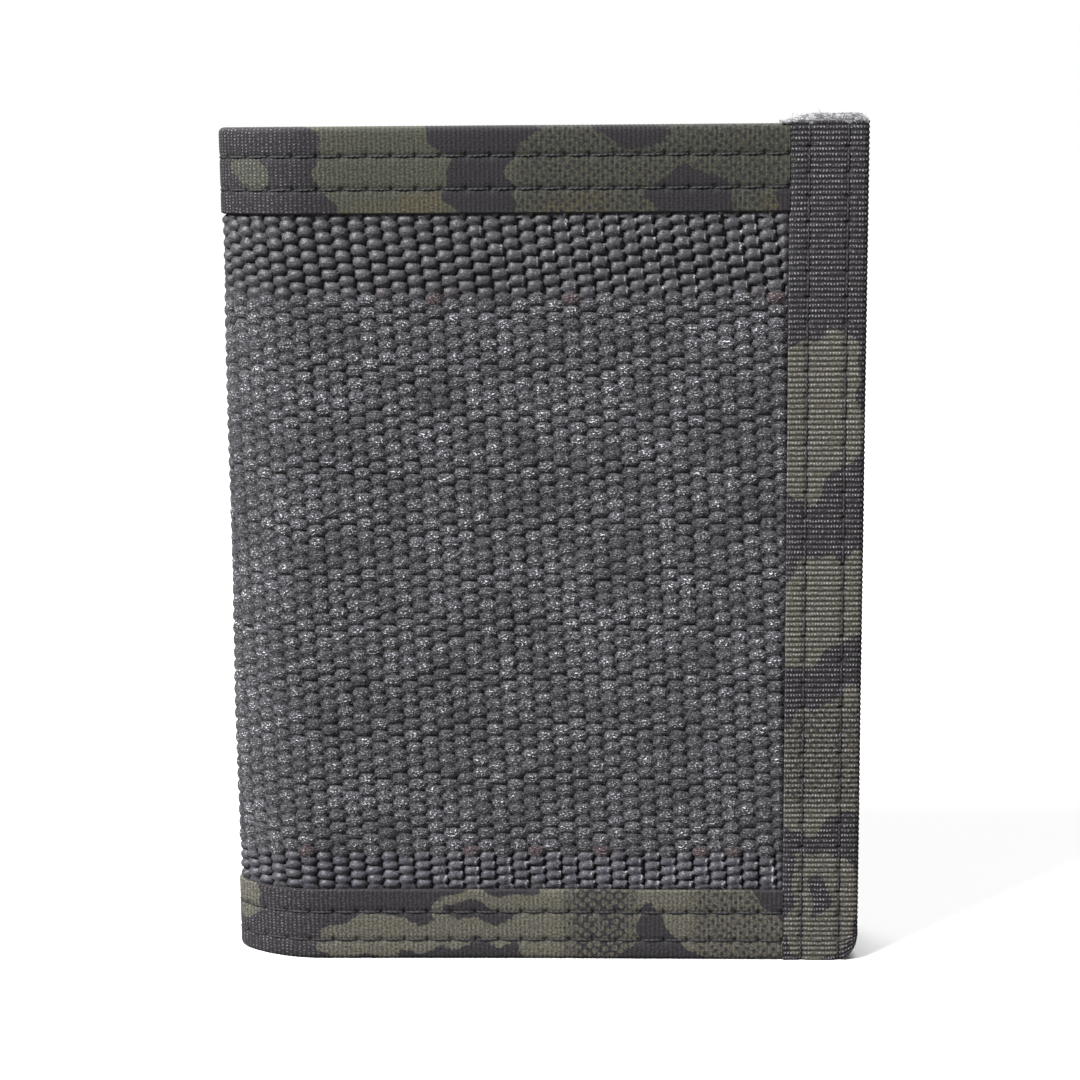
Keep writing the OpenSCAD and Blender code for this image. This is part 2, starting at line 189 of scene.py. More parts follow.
def part(points, closed=False, **attributes):
    """One or more tubes of loops: points is (tubes, loops, points round a loop, 3), or without the
    first axis. A closed tube's last loop joins its first. The attributes have the same axes."""
    if points.ndim == 3:
        points = points[None]
        attributes = {k: v[None] for k, v in attributes.items()}
    if not closed:
        inside_out = signed_volume(points) < 0
        points = np.where(inside_out[:, None, None, None], points[:, :, ::-1], points)
        for key, value in attributes.items():
            flip = inside_out.reshape(-1, *[1] * (value.ndim - 1))
            attributes[key] = np.where(flip, value[:, :, ::-1], value)
    return {"points": points, "closed": closed, "attributes": attributes}


def part_faces(shape, closed, first):
    """Quads between a part's loops, and a face on each end, as lists of vertex numbers."""
    tubes, loops, around = shape
    index = first + np.arange(tubes * loops * around).reshape(tubes, loops, around)
    beside = np.roll(index, -1, axis=2)
    if closed:
        after, after_beside = np.roll(index, -1, axis=1), np.roll(beside, -1, axis=1)
        quads = np.stack([index, beside, after_beside, after], axis=-1)
        return quads.reshape(-1, 4), []
    quads = np.stack([index[:, :-1], beside[:, :-1], beside[:, 1:], index[:, 1:]], axis=-1)
    ends = [ring[::-1] for ring in index[:, 0]] + list(index[:, -1])
    return quads.reshape(-1, 4), ends


def make_mesh(name, parts):
    """A mesh of all the parts, with their attributes on its points."""
    quads = []
    ends = []
    first = 0
    for p in parts:
        found_quads, found_ends = part_faces(p["points"].shape[:3], p["closed"], first)
        quads.append(found_quads)
        ends += found_ends
        first += p["points"].size // 3
    quads = np.concatenate(quads)
    sizes = np.concatenate([np.full(len(quads), 4), [len(e) for e in ends]]).astype(int)
    corners = np.concatenate([quads.ravel(), *ends]).astype(np.int32)
    points = np.concatenate([p["points"].reshape(-1, 3) for p in parts]) * MM
    mesh = bpy.data.meshes.new(name)
    mesh.vertices.add(len(points))
    mesh.vertices.foreach_set("co", points.astype(np.float32).ravel())
    mesh.loops.add(len(corners))
    mesh.loops.foreach_set("vertex_index", corners)
    mesh.polygons.add(len(sizes))
    mesh.polygons.foreach_set("loop_start", (np.cumsum(sizes) - sizes).astype(np.int32))
    mesh.update(calc_edges=True)
    mesh.validate()
    mesh.shade_smooth()
    mesh.set_sharp_from_angle(angle=SHARP_ANGLE)
    for key in parts[0]["attributes"]:
        values = np.concatenate([p["attributes"][key].reshape(-1, 3) for p in parts])
        layer = mesh.attributes.new(key, "FLOAT_VECTOR", "POINT")
        layer.data.foreach_set("vector", values.astype(np.float32).ravel())
    return mesh


# Each panel's body, and the two bodies that each fold bends between: its panel's and its spine's.
BODIES = {
    "front": "front_flap", "left_spine": "left_spine", "back": "back_panel",
    "right_spine": "right_spine", "inner": "inner_flap",
}
FOLD_BODIES = {
    "left_fold_front": ("front_flap", "left_spine"), "left_fold_back": ("back_panel", "left_spine"),
    "right_fold_back": ("back_panel", "right_spine"), "right_fold_front": ("inner_flap", "right_spine"),
}
SHARP_ANGLE = math.radians(62)


def fold_ends(panel):
    """The middle of the webbing where a fold meets its panel, and where it meets its spine."""
    ends = on_strip(np.array(SPAN[panel]), WEB_T / 2, CLOSED_H / 2)
    return ends if STEPS[panel] is INTO_SPINE else ends[::-1]


def add_object(name, data):
    obj = bpy.data.objects.new(name, data)
    bpy.context.scene.collection.objects.link(obj)
    return obj


def piece(name, panel, parts, material, replaces=(), ends=None):
    """A finished piece that rides on its panel's body, or, where the panel is a fold, is baked in place."""
    obj = add_object(name, make_mesh(name, parts))
    obj.data.materials.append(material)
    if panel in FOLD_BODIES:
        start, end = fold_ends(panel) if ends is None else ends
        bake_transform(obj)
    else:
        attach(obj, BODIES[panel])
    if replaces:
        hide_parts(*replaces)


def smoothstep(x, low, high):
    t = np.clip((x - low) / (high - low), 0, 1)
    return t * t * (3 - 2 * t)


def chance(i, j, salt):
    """A repeatable number from 0 to 1 for each pair of whole numbers."""
    mixed = np.sin(i * 127.1 + j * 311.7 + salt * 74.7) * 43758.5453
    return mixed - np.floor(mixed)


def stack3(a, b, c):
    return np.stack(np.broadcast_arrays(a, b, c), axis=-1).astype(float)


# ---------------------------------------------------------------- shader helpers

def new_material(name, **constants):
    """A material and its shader, whose constant inputs are set on its own sockets."""
    material = bpy.data.materials.new(name)
    material.use_nodes = True
    shader = material.node_tree.nodes["Principled BSDF"]
    for key, value in constants.items():
        shader.inputs[key.replace("_", " ")].default_value = value
    return material, shader


def is_socket(value):
    return isinstance(value, bpy.types.NodeSocket)


def add(kind, inputs, **settings):
    """A node in its linked inputs' tree, with its settings, and with its inputs set or linked."""
    tree = next(value for value in inputs.values() if is_socket(value)).id_data
    node = tree.nodes.new(kind)
    for key, value in settings.items():
        setattr(node, key, value)
    for key, value in inputs.items():
        if is_socket(value):
            tree.links.new(value, node.inputs[key])
        else:
            node.inputs[key].default_value = value
    return node


def maths(operation, a, b=0.0):
    return add("ShaderNodeMath", {0: a, 1: b}, operation=operation).outputs[0]


def times(first, *others):
    """The product of two or more numbers."""
    for other in others:
        first = maths("MULTIPLY", first, other)
    return first


def wave(value, operation="SINE"):
    return maths(operation, value)


def ramp(value, low, high, to_low=0.0, to_high=1.0):
    """value mapped smoothly from low..high to to_low..to_high."""
    inputs = {"Value": value, "From Min": low, "From Max": high, "To Min": to_low, "To Max": to_high}
    return add("ShaderNodeMapRange", inputs, interpolation_type="SMOOTHSTEP").outputs["Result"]


def mix(factor, a, b):
    """Colour a where factor is 0 and b where it is 1. Plain colours are red, green and blue."""
    a, b = [value if is_socket(value) else (*value, 1) for value in (a, b)]
    return add("ShaderNodeMix", {0: factor, 6: a, 7: b}, data_type="RGBA").outputs[2]


def brighten(colour, factor):
    """The colour multiplied by a number."""
    return add("ShaderNodeVectorMath", {0: colour, "Scale": factor}, operation="SCALE").outputs[0]


def noise(vector, scale, detail=2.0, roughness=0.5):
    inputs = {"Vector": vector, "Scale": scale, "Detail": detail, "Roughness": roughness}
    return add("ShaderNodeTexNoise", inputs).outputs["Fac"]


def read(shader, name):
    """A point attribute as its vector and its three numbers."""
    node = shader.id_data.nodes.new("ShaderNodeAttribute")
    node.attribute_name = name
    vector = node.outputs["Vector"]
    return vector, *add("ShaderNodeSeparateXYZ", {0: vector}).outputs


def scaled(vector, x, y, z=1.0):
    return add("ShaderNodeVectorMath", {0: vector, 1: (x, y, z)}, operation="MULTIPLY").outputs[0]


def surface(shader, colour, roughness, height, distance, strength):
    """Links a shader's colour and roughness, and bumps it by height."""
    bump = add("ShaderNodeBump", {"Height": height, "Distance": distance, "Strength": strength})
    for name, socket in (("Base Color", colour), ("Roughness", roughness), ("Normal", bump.outputs[0])):
        shader.id_data.links.new(socket, shader.inputs[name])


# ---------------------------------------------------------------- materials

# Above the first height and below the second, the webbing has a band of smoother yarn.
TOP_BAND_Z = 83.1
BOTTOM_BAND_Z = 13.7
TURN = 2 * math.pi


def webbing_material():
    """Coarse spun webbing. cloth is (s, z), and weave is (height, tint, shine) of the yarn.
    A tint above 1 is one of the few reddish floats, and a shine above 1 is a painted highlight on the ridge
    at a slanted float's end."""
    material, shader = new_material("coarse_webbing", Sheen_Weight=0.1, Sheen_Roughness=0.6,
                                    Specular_IOR_Level=0.35)
    cloth, _, upward, _ = read(shader, "cloth")
    _, height, tint, shine = read(shader, "weave")
    fibres = noise(scaled(cloth, 1.0, 1.5), 2.9, 1.0)
    grain = noise(scaled(cloth, 1.0, 1.3), 4.6, 0.0)
    mottle = noise(scaled(cloth, 1.0, 1.3), 2.0, 2.0, 0.7)
    wear = noise(cloth, 0.11)
    matte = maths("SUBTRACT", 1.0, shine)
    yarn = mix(tint, (0.046, 0.044, 0.050), (0.068, 0.065, 0.074))
    yarn = mix(ramp(tint, 1.2, 1.8), yarn, (0.058, 0.039, 0.042))
    yarn = mix(times(shine, 0.8), yarn, (0.058, 0.057, 0.065))
    lower = ramp(upward, BOTTOM_BAND_Z - 0.4, BOTTOM_BAND_Z + 0.4, 0.8, 0.0)
    yarn = mix(times(lower, ramp(shine, 0, 1)), yarn, (0.071, 0.070, 0.086))
    worn = ramp(wear, 0.35, 0.7, 0.79, 1.04)
    streaks = ramp(mottle, 0.36, 0.64, ramp(shine, 0, 1, 0.4, 0.8), ramp(shine, 0, 1, 1.65, 1.2))
    yarn = brighten(yarn, times(worn, streaks))
    # Pale fibre ends show on the crests of the matte, light floats.
    lint = times(
        ramp(fibres, 0.51, 0.64), ramp(grain, 0.40, 0.60), ramp(height, 0.45, 0.97, 0.10, 1.0),
        ramp(matte, 0, 1, 0.10, 1.0), ramp(tint, 0, 1, 0.35, 1.0), ramp(tint, 1.2, 1.8, 1.0, 0.3),
        ramp(wear, 0.3, 0.65, 0.6, 1.0),
    )
    yarn = mix(lint, yarn, (0.80, 0.79, 0.84))
    # Painted highlight: a pale glint where shine is above 1, on the ridge at a slanted float's end.
    glint = times(ramp(shine, 1.05, 1.5, 0.0, 0.7), ramp(grain, 0.35, 0.6, 0.3, 1.0))
    yarn = mix(glint, yarn, (0.50, 0.50, 0.53))
    # Painted shade: the colour darkens where the weave is low between floats, and the shaded space is wider
    # where the yarn is smooth.
    narrow, wide = ramp(height, 0.06, 0.40, 0.05, 1.0), ramp(height, 0.08, 0.52, 0.03, 1.0)
    gap_shade = add("ShaderNodeMix", {0: ramp(shine, 0, 0.8), 2: narrow, 3: wide}).outputs[0]
    deep = times(gap_shade, ramp(grain, 0.3, 0.7, 0.7, 1.3))
    surface(shader, brighten(yarn, deep), ramp(shine, 0, 1, 0.9, 0.45),
            maths("ADD", fibres, mottle), 0.00025, ramp(matte, 0, 1, 0.3, 0.9))
    return material


# Where along the strip the horizontal tapes' ribs begin and end to take painted highlights.
SPARKS_TO_S = 58.0
SPARKS_FROM_S = 74.0
TAPE_WARP = 0.36
NARROW_WARP = 0.4
LINING_WARP = 0.62


def printed_cover(olive, dotted, place):
    """Where the olive print covers the tape: its field with a soft edge, less its dots and its net."""
    olive = maths("ADD", olive, ramp(noise(place, 1.6), 0, 1, -0.25, 0.25))
    turned = add("ShaderNodeMapping", {"Vector": place, "Rotation": (0, 0, math.radians(38))}).outputs[0]
    cells = {"Vector": turned, "Scale": 1.08, "Randomness": 0.35}
    dots = add("ShaderNodeTexVoronoi", cells, voronoi_dimensions="2D").outputs["Distance"]
    few = times(ramp(dotted, 0.0, 0.5), ramp(dotted, 0.5, 0.7, 1.0, 0.0))
    dot = times(ramp(dots, 0.20, 0.33, 1.0, 0.0), few)
    net = times(ramp(dots, 0.34, 0.46), ramp(dotted, 0.5, 1.0))
    return times(ramp(olive, -0.08, 0.08), maths("SUBTRACT", 1.0, maths("MAXIMUM", dot, net)))


def tape_material(name, rib_valley_shade, spark_share, least_spark):
    """Ribbed binding tape in printed camouflage. cloth is (rib number, distance across, along),
    print is (olive field, dotted field, fray), and sewn is (hole, stitched groove,
    how far the colours are lightened)."""
    material, shader = new_material(name, Sheen_Weight=0.1, Sheen_Roughness=0.5, Specular_IOR_Level=0.3)
    cloth, rib, across, along = read(shader, "cloth")
    _, olive, dotted, fray = read(shader, "print")
    _, needle, groove, light = read(shader, "sewn")
    place = add("ShaderNodeCombineXYZ", {0: along, 1: across}).outputs[0]
    wide = noise(place, 0.16, 1.0)
    ochre = times(ramp(wide, 0.42, 0.62), ramp(across, 2.0, 3.4, 0.8, 0.08))
    olive_colour = mix(ochre, (0.058, 0.060, 0.044), (0.076, 0.064, 0.038))
    # The bottom and end tapes take lighter colours than the top tape.
    olive_colour = mix(light, olive_colour, (0.114, 0.108, 0.085))
    olive_colour = brighten(olive_colour, ramp(dotted, 0.0, 0.5, 1.0, 0.8))
    dark_colour = mix(wide, (0.017, 0.015, 0.017), (0.025, 0.021, 0.025))
    dark_colour = mix(light, dark_colour, (0.032, 0.028, 0.032))
    colour = mix(printed_cover(olive, dotted, place), dark_colour, olive_colour)
    crest = wave(times(rib, TURN), "COSINE")
    grain = noise(place, 3.6, 1.0)
    uneven = noise(scaled(cloth, 0.9, 0.35, 0.0), 1.0, 1.0)
    warp = wave(maths("ADD", times(across, TURN / TAPE_WARP), times(uneven, 9.0)))
    # Painted highlight: pale sparks where the warp crosses a rib's crest; the horizontal tapes get them only
    # past SPARKS_TO_S along the strip.
    spark = times(
        ramp(warp, -0.2, 1.0), ramp(crest, -0.3, 1.0), ramp(grain, 0.38, 0.62),
        ramp(uneven, 0.3, 0.65, 0.35, 1.0), ramp(along, SPARKS_TO_S, SPARKS_FROM_S, least_spark, 1.0),
    )
    colour = brighten(colour, ramp(grain, 0.3, 0.7, 0.55, 1.45))
    colour = mix(times(spark, spark_share), colour, (0.46, 0.43, 0.46))
    # Painted shade: the colour darkens in the valleys between the ribs.
    colour = brighten(colour, ramp(crest, -1.0, 0.4, rib_valley_shade, 1.0))
    # Painted shade: the colour darkens almost to black in the stitched grooves and needle holes.
    stitch_shade = maths("ADD", times(groove, 0.35), times(needle, 0.6))
    colour = mix(stitch_shade, colour, (0.004, 0.004, 0.005))
    fluff = noise(scaled(cloth, 0.6, 2.0, 3.6), 1.0, 3.0, 0.7)
    colour = mix(fray, colour, mix(ramp(fluff, 0.42, 0.62), (0.13, 0.13, 0.135), (0.50, 0.50, 0.51)))
    surface(shader, colour, ramp(grain, 0.2, 0.8, 0.62, 0.82),
            maths("ADD", times(warp, 0.05), grain), 0.00006, 0.9)
    return material


def plain_tape_material():
    """Narrow black tape with fine ribs. cloth is (rib number, distance across, distance along)."""
    material, shader = new_material("narrow_tape", Sheen_Weight=0.15, Sheen_Roughness=0.5)
    cloth, rib, across, _ = read(shader, "cloth")
    crest = wave(times(rib, TURN), "COSINE")
    warp = wave(times(across, TURN / NARROW_WARP))
    grain = noise(scaled(cloth, 1.3, 3.0, 0.0), 1.7, 2.0, 0.7)
    shade = times(ramp(crest, -1.0, 0.5, 0.4, 1.0), ramp(grain, 0.2, 0.8, 0.6, 1.5))
    colour = mix(ramp(warp, -0.5, 1.0), (0.022, 0.022, 0.025), (0.042, 0.041, 0.045))
    surface(shader, brighten(colour, shade), ramp(grain, 0.2, 0.8, 0.6, 0.8),
            maths("ADD", crest, warp), 0.00004, 0.7)
    return material


def lining_material():
    """Plain-woven pack cloth. cloth is (distance along, distance across) in millimetres."""
    material, shader = new_material("pack_cloth", Sheen_Weight=0.1, Sheen_Roughness=0.4)
    cloth, across, along, _ = read(shader, "cloth")
    checks = times(wave(times(across, TURN / LINING_WARP)), wave(times(along, TURN / LINING_WARP)))
    grain = noise(cloth, 2.4, 3.0, 0.65)
    # Painted shade: broad soft patches of darker and lighter colour, as creases would shade the cloth.
    crease_shade = noise(scaled(cloth, 0.05, 0.09), 1.0)
    colour = mix(ramp(checks, -0.7, 0.7), (0.017, 0.018, 0.020), (0.036, 0.037, 0.040))
    shade = times(ramp(grain, 0.25, 0.75, 0.7, 1.35), ramp(crease_shade, 0.3, 0.7, 0.85, 1.2))
    surface(shader, brighten(colour, shade), ramp(grain, 0.2, 0.8, 0.45, 0.65),
            maths("ADD", checks, grain), 0.00005, 0.7)
    return material


def thread_material():
    """Twisted black thread. cloth is (distance along, angle round)."""
    material, shader = new_material("sewing_thread", Sheen_Weight=0.1, Sheen_Roughness=0.5)
    cloth, along, around, _ = read(shader, "cloth")
    twist = wave(maths("ADD", times(along, 9.0), around))
    grain = noise(cloth, 3.0)
    colour = mix(ramp(twist, -1.0, 1.0), (0.006, 0.006, 0.007), (0.030, 0.029, 0.033))
    surface(shader, brighten(colour, ramp(grain, 0.2, 0.8, 0.7, 1.4)), ramp(grain, 0.2, 0.8, 0.6, 0.8),
            twist, 0.00004, 0.7)
    return material


def nylon_material(name, dark, light, rough):
    """Moulded or brushed nylon of the closure. cloth is (x, z) and a random number."""
    material, shader = new_material(name)
    cloth, _, _, random = read(shader, "cloth")
    grain = noise(cloth, 3.5, 3.0, 0.7)
    colour = mix(times(random, ramp(grain, 0.3, 0.7)), dark, light)
    surface(shader, colour, ramp(grain, 0.2, 0.8, rough, rough + 0.2), grain, 0.00005, 0.6)
    return material


def film_material():
    """Clear vinyl film, with faint scuffs."""
    material, shader = new_material("clear_vinyl", Transmission_Weight=1.0, IOR=1.3)
    cloth, _, _, _ = read(shader, "cloth")
    scuffs = noise(scaled(cloth, 0.3, 2.4), 1.2, 3.0, 0.7)
    buckles = noise(scaled(cloth, 0.06, 0.04), 1.0, 1.0)
    surface(shader, mix(scuffs, (0.86, 0.89, 0.90), (0.97, 0.98, 0.98)),
            ramp(scuffs, 0.4, 0.75, 0.06, 0.28), buckles, 0.0006, 0.5)
    return material


WEBBING = webbing_material()
TAPE = tape_material("camouflage_tape", 0.72, 0.6, 0.0)
END_TAPE = tape_material("camouflage_end_tape", 0.22, 1.0, 1.0)
NARROW = plain_tape_material()
LINING = lining_material()
THREAD = thread_material()
HOOKS = nylon_material("hook_nylon", (0.010, 0.010, 0.011), (0.045, 0.045, 0.048), 0.35)
LOOPS = nylon_material("loop_nylon", (0.012, 0.012, 0.013), (0.075, 0.075, 0.080), 0.7)
FILM = film_material()

# ---------------------------------------------------------------- webbing

# The weave is columns of short floats, each column half a row out of step with the next.
COLUMN_PITCH = 2.04
ROW_PITCH = 1.56
BAND_ROW_PITCH = 1.46
LOW_ROW_PITCH = 1.2
FLOAT_RISE = 0.48
FLOAT_RELIEF = 0.50
BAND_RELIEF = 0.78
# Reddish floats are at most this far from the inner edge of a band, and this share of them is red.
RED_REACH = 0.75
RED_SHARE = 0.3
HIDDEN_DEPTH = 0.15
# The bands' floats are plain at the first s and fully slanted at the second.
SHEAR_FROM_S = 66.0
SHEAR_TO_S = 20.0
LOW_SHEAR_FROM_S = 64.0
LOW_SHEAR_TO_S = 48.0
COLUMN_SLANT = 0.05
BAND_SLANT = 0.10
BAND_LEAN = 0.35
# A slanted float has a raised ridge across its end, with a painted highlight on it, and a dip beside it,
# placed along its half length.
RIDGE_AT = -0.66
RIDGE_RISE = 0.14
DIP_AT = -0.34
CREASE = 0.16


def hump(x, at, width):
    return np.exp(-((x - at) / width) ** 2)


def row_number(z):
    """Rows counted up the webbing. They are closer together in the two bands."""
    low = BOTTOM_BAND_Z / BAND_ROW_PITCH
    first = low - BOTTOM_BAND_Z / LOW_ROW_PITCH
    high = low + (TOP_BAND_Z - BOTTOM_BAND_Z) / ROW_PITCH
    top = high + (CLOSED_H - TOP_BAND_Z) / BAND_ROW_PITCH
    return np.interp(z, [0, BOTTOM_BAND_Z, TOP_BAND_Z, CLOSED_H], [first, low, high, top])


def row_height(row):
    """The height of a row, the inverse of row_number."""
    heights = np.array([0, BOTTOM_BAND_Z, TOP_BAND_Z, CLOSED_H])
    return np.interp(row, row_number(heights), heights)


def floats(s, z):
    """The weave's height from 0 to 1, and the tint and shine of the yarn on top, at each point. A shine
    above 1 is a painted highlight.
    """
    best = np.zeros(s.shape)
    tint = np.zeros(s.shape)
    shine = 1.0 * ((z > TOP_BAND_Z) | (z < BOTTOM_BAND_Z))
    s = s - COLUMN_SLANT * z - BAND_SLANT * np.clip(z - TOP_BAND_Z, 0, None)
    nearest_column = np.round(s / COLUMN_PITCH)
    row = row_number(z)
    for di in (-1, 0, 1):
        column = nearest_column + di
        step = 0.5 * np.mod(column, 2)
        nearest_row = np.round(row - step)
        at_s = -column * COLUMN_PITCH
        low_shear = smoothstep(at_s, -LOW_SHEAR_FROM_S, -LOW_SHEAR_TO_S)
        high_shear = smoothstep(at_s, -SHEAR_FROM_S, -SHEAR_TO_S)
        for dj in (-1, 0, 1):
            j = nearest_row + dj
            centre_z = row_height(j + step)
            lower = centre_z < BOTTOM_BAND_Z
            banded = (centre_z > TOP_BAND_Z) | lower
            shear = np.where(lower, low_shear, high_shear) * banded
            along = np.where(banded, 1.06 - 0.09 * shear, 1.15) * (0.97 + 0.07 * chance(column, j, 1))
            across = np.where(banded, 0.76 - 0.01 * shear, 0.81) * (0.97 + 0.06 * chance(column, j, 2))
            across = across * np.where(lower, LOW_ROW_PITCH / BAND_ROW_PITCH, 1)
            tilt = np.where(banded, 0.03 - 0.01 * shear, 0.05)
            tilt = tilt + 0.12 * (1 - 0.6 * shear) * (chance(column, j, 3) - 0.5)
            ds = s - (column * COLUMN_PITCH + 0.14 * (chance(column, j, 4) - 0.5))
            dz = z - (centre_z + 0.08 * (chance(column, j, 5) - 0.5))
            # s runs to the left on the front flap, so a float that rises to the right falls along s.
            u = (ds + (BAND_LEAN * shear - tilt) * dz) / along
            v = (dz + tilt * ds) / across
            full = np.clip(1 - np.abs(u) ** (2.2 + 1.0 * shear) - np.abs(v) ** (2.2 + 0.8 * shear), 0, None)
            crease = shear * (RIDGE_RISE * hump(u, RIDGE_AT, 0.16) - CREASE * hump(u, DIP_AT, 0.13))
            height = full ** 0.55 * (0.86 + 0.14 * chance(column, j, 6) + crease)
            taken = height > best
            best = np.where(taken, height, best)
            edging = np.minimum(np.abs(centre_z - TOP_BAND_Z), np.abs(centre_z - BOTTOM_BAND_Z)) < RED_REACH
            red = edging & (chance(column, j, 10) < RED_SHARE)
            tint = np.where(taken, np.where(red, 2.0, chance(column, j, 7)), tint)
            # Painted highlight: a bright line on the ridge at a slanted float's end, carried in its shine.
            ridge_highlight = shear * (full > 0.05) * hump(u, RIDGE_AT, np.where(lower, 0.21, 0.13))
            ridge_highlight = ridge_highlight * (0.35 + 0.65 * chance(column, j, 9))
            shine = np.where(taken, banded * (0.8 + 0.2 * chance(column, j, 8) + 0.8 * ridge_highlight), shine)
    return best, tint, shine


PRESSED = 0.6


def beyond(x, edge):
    """1 where x is past the edge of a tape, and 0 where it is PRESSED or more before it."""
    return smoothstep(x, edge - PRESSED, edge + 0.2)


def under_tape(s, z):
    """1 where the webbing is flattened under a binding tape, 0 where it is open."""
    top = beyond(z, CLOSED_H - TOP_W)
    bottom = beyond(-z, -BOTTOM_W)
    first = beyond(-s, -END_W + TAPE_T)
    last = beyond(s, STRIP_END - END_W + TAPE_T)
    return np.maximum(np.maximum(top, bottom), np.maximum(first, last))


def under_loop(s, z):
    """1 where the webbing is flattened under the inner flap's loop strip, 0 where it is open."""
    low, high = box_mm("loop_strip")
    x = INNER_HIGH[0] - (s - SPAN["inner"][0])
    inside = [smoothstep(x, low[0] - PRESSED, low[0]), smoothstep(-x, -high[0] - PRESSED, -high[0]),
              smoothstep(z, low[2] - PRESSED, low[2]), smoothstep(-z, -high[2] - PRESSED, -high[2])]
    return np.minimum.reduce(inside)


def steps(low, high, size):
    return np.linspace(low, high, max(2, int(round((high - low) / size)) + 1))


def zones(limits, sizes):
    """Positions through consecutive stretches, each with its own step."""
    runs = [steps(a, b, size)[:-1] for a, b, size in zip(limits, limits[1:], sizes)]
    return np.concatenate([*runs, [limits[-1]]])


FRONT_FINE = 0.25
BACK_FINE = 0.33
COARSE = 1.2
SEEN_FROM_FRONT = ("front", "left_fold_front", "left_spine")


def webbing(panel):
    """One panel's or fold's stretch of webbing, with a finer mesh where it isn't under a tape."""
    fine = FRONT_FINE if panel in SEEN_FROM_FRONT else BACK_FINE
    s0, s1 = SPAN[panel]
    s_limits, s_sizes = [s0, s1], [fine]
    if panel == "front":
        s_limits, s_sizes = [s0, s0 + END_W - 2 * TAPE_T, s1], [COARSE, fine]
    if panel == "inner":
        s_limits, s_sizes = [s0, s1 - END_W + 2 * TAPE_T, s1], [fine, COARSE]
    s = zones(s_limits, s_sizes)
    z = zones([WEB_Z0, BOTTOM_W - 1, CLOSED_H - TOP_W + 1, WEB_Z1], [COARSE, fine, COARSE])
    grid_s, grid_z = np.meshgrid(s, z, indexing="ij")
    height, tint, shine = floats(grid_s, grid_z)
    hidden = under_tape(grid_s, grid_z)
    flat = under_loop(grid_s, grid_z) if panel == "inner" else 0 * hidden
    hidden = np.maximum(hidden, flat)
    relief = FLOAT_RELIEF + (BAND_RELIEF - FLOAT_RELIEF) * np.clip(shine, 0, 1)
    shown = FLOAT_RISE - relief * (1 - height)
    depth = -(1 - hidden) * shown + hidden * HIDDEN_DEPTH + flat * swell(grid_s, grid_z)
    outer = on_shell(grid_s, depth, grid_z)
    inner_z = np.broadcast_to(z[[-1, 0]], (len(s), 2))
    inner = on_shell(s[:, None], WEB_T, inner_z)
    if panel == "front":
        outer = round_corner(outer, WEB_Z0)
    cloth = np.concatenate([stack3(grid_s, grid_z, 0), stack3(s[:, None], inner_z, 0)], axis=1)
    weave = np.concatenate([stack3(height, tint, shine), stack3(0 * inner_z + 0.7, 0.5, 0)], axis=1)
    made = part(np.concatenate([outer, inner], axis=1), cloth=cloth, weave=weave)
    node = f"{panel}_web" if panel in FOLD_BODIES else f"{panel}_shell"
    piece(f"{panel}_webbing", panel, [made], WEBBING, [node])


def round_corner(points, floor_z, inset=TAPE_T):
    """Lifts points near the front flap's lower free corner, so that the corner is round."""
    centre_x = FRONT_HIGH[0] + TAPE_T - CORNER_R
    radius = CORNER_R - inset
    over = np.clip(points[..., 0] - centre_x, 0, radius)
    lift = CORNER_R - np.sqrt(np.clip(radius ** 2 - over ** 2, 0, None)) - floor_z
    share = np.clip(1 - (points[..., 2] - floor_z) / (1.3 * CORNER_R), 0, 1)
    moved = points.copy()
    moved[..., 2] += np.clip(lift, 0, None) * share
    return moved


for each_panel in STEPS:
    webbing(each_panel)

# ---------------------------------------------------------------- camouflage

# Each tape's print is a list of soft patches: along the tape, across it, half length, half width, lean.
TOP_OLIVE = [(73.5, 5.2, 2.6, 1.9, 0), (57, 4.5, 7.6, 16, 0.12), (25, 5, 16.5, 22, -0.1)]
TOP_DARK = [(20, 0.5, 5.4, 4.6, 0.15), (28, 10.5, 4.0, 2.4, 0)]
BOTTOM_OLIVE = [(77.5, 1.5, 3.6, 2.6, 0), (58, 6.6, 10, 2.9, 0), (45, 3.6, 8, 3.3, 0.1),
                (33.5, 4, 7.5, 9, 0.2), (16.5, 3.5, 7.5, 9, -0.4)]
BOTTOM_DARK = [(46.5, 3.3, 4.2, 1.2, 0.1), (53, 9.5, 3.6, 2.0, 0)]
END_OLIVE = [(68.5, 3, 10, 6.2, 0.1), (45, 4.5, 6.4, 7, 0.3), (25.5, 5, 8, 9, 0.2), (7, 5.2, 7.6, 4.4, 0)]
END_DARK = [(8.5, 4.2, 3.6, 1.2, 0), (56, 8.5, 5, 3.4, 0)]
# Stretches that are dotted: from, to, and how much. Up to a half is dots, and above it a dark net.
TOP_DOTTED = [(9, 41, 0.5)]
BOTTOM_DOTTED = [(8, 20, 0.5), (27.5, 35.5, 1.0)]
END_DOTTED = [(20, 33, 0.5)]


def patches(along, across, spots):
    """How far inside the nearest of the spots each point is, in millimetres, negative outside them all."""
    field = np.full(along.shape, -9.0)
    for at, over, half_l, half_w, lean in spots:
        u = (along - at - lean * (across - over) * 2) / half_l
        v = (across - over) / half_w
        inside = (1 - np.sqrt(u * u + v * v)) * min(half_l, half_w)
        field = np.maximum(field, inside)
    return field


def scattered(seed, low, high):
    """Patches for a stretch of tape that the front doesn't show."""
    draw = np.random.default_rng(seed)
    spots = []
    at = low
    while at < high:
        half = draw.uniform(4, 10)
        at += half * draw.uniform(0.9, 1.5)
        spots.append((at, draw.uniform(1, 20), half, draw.uniform(3, 9), draw.uniform(-0.4, 0.4)))
        at += half
    return spots


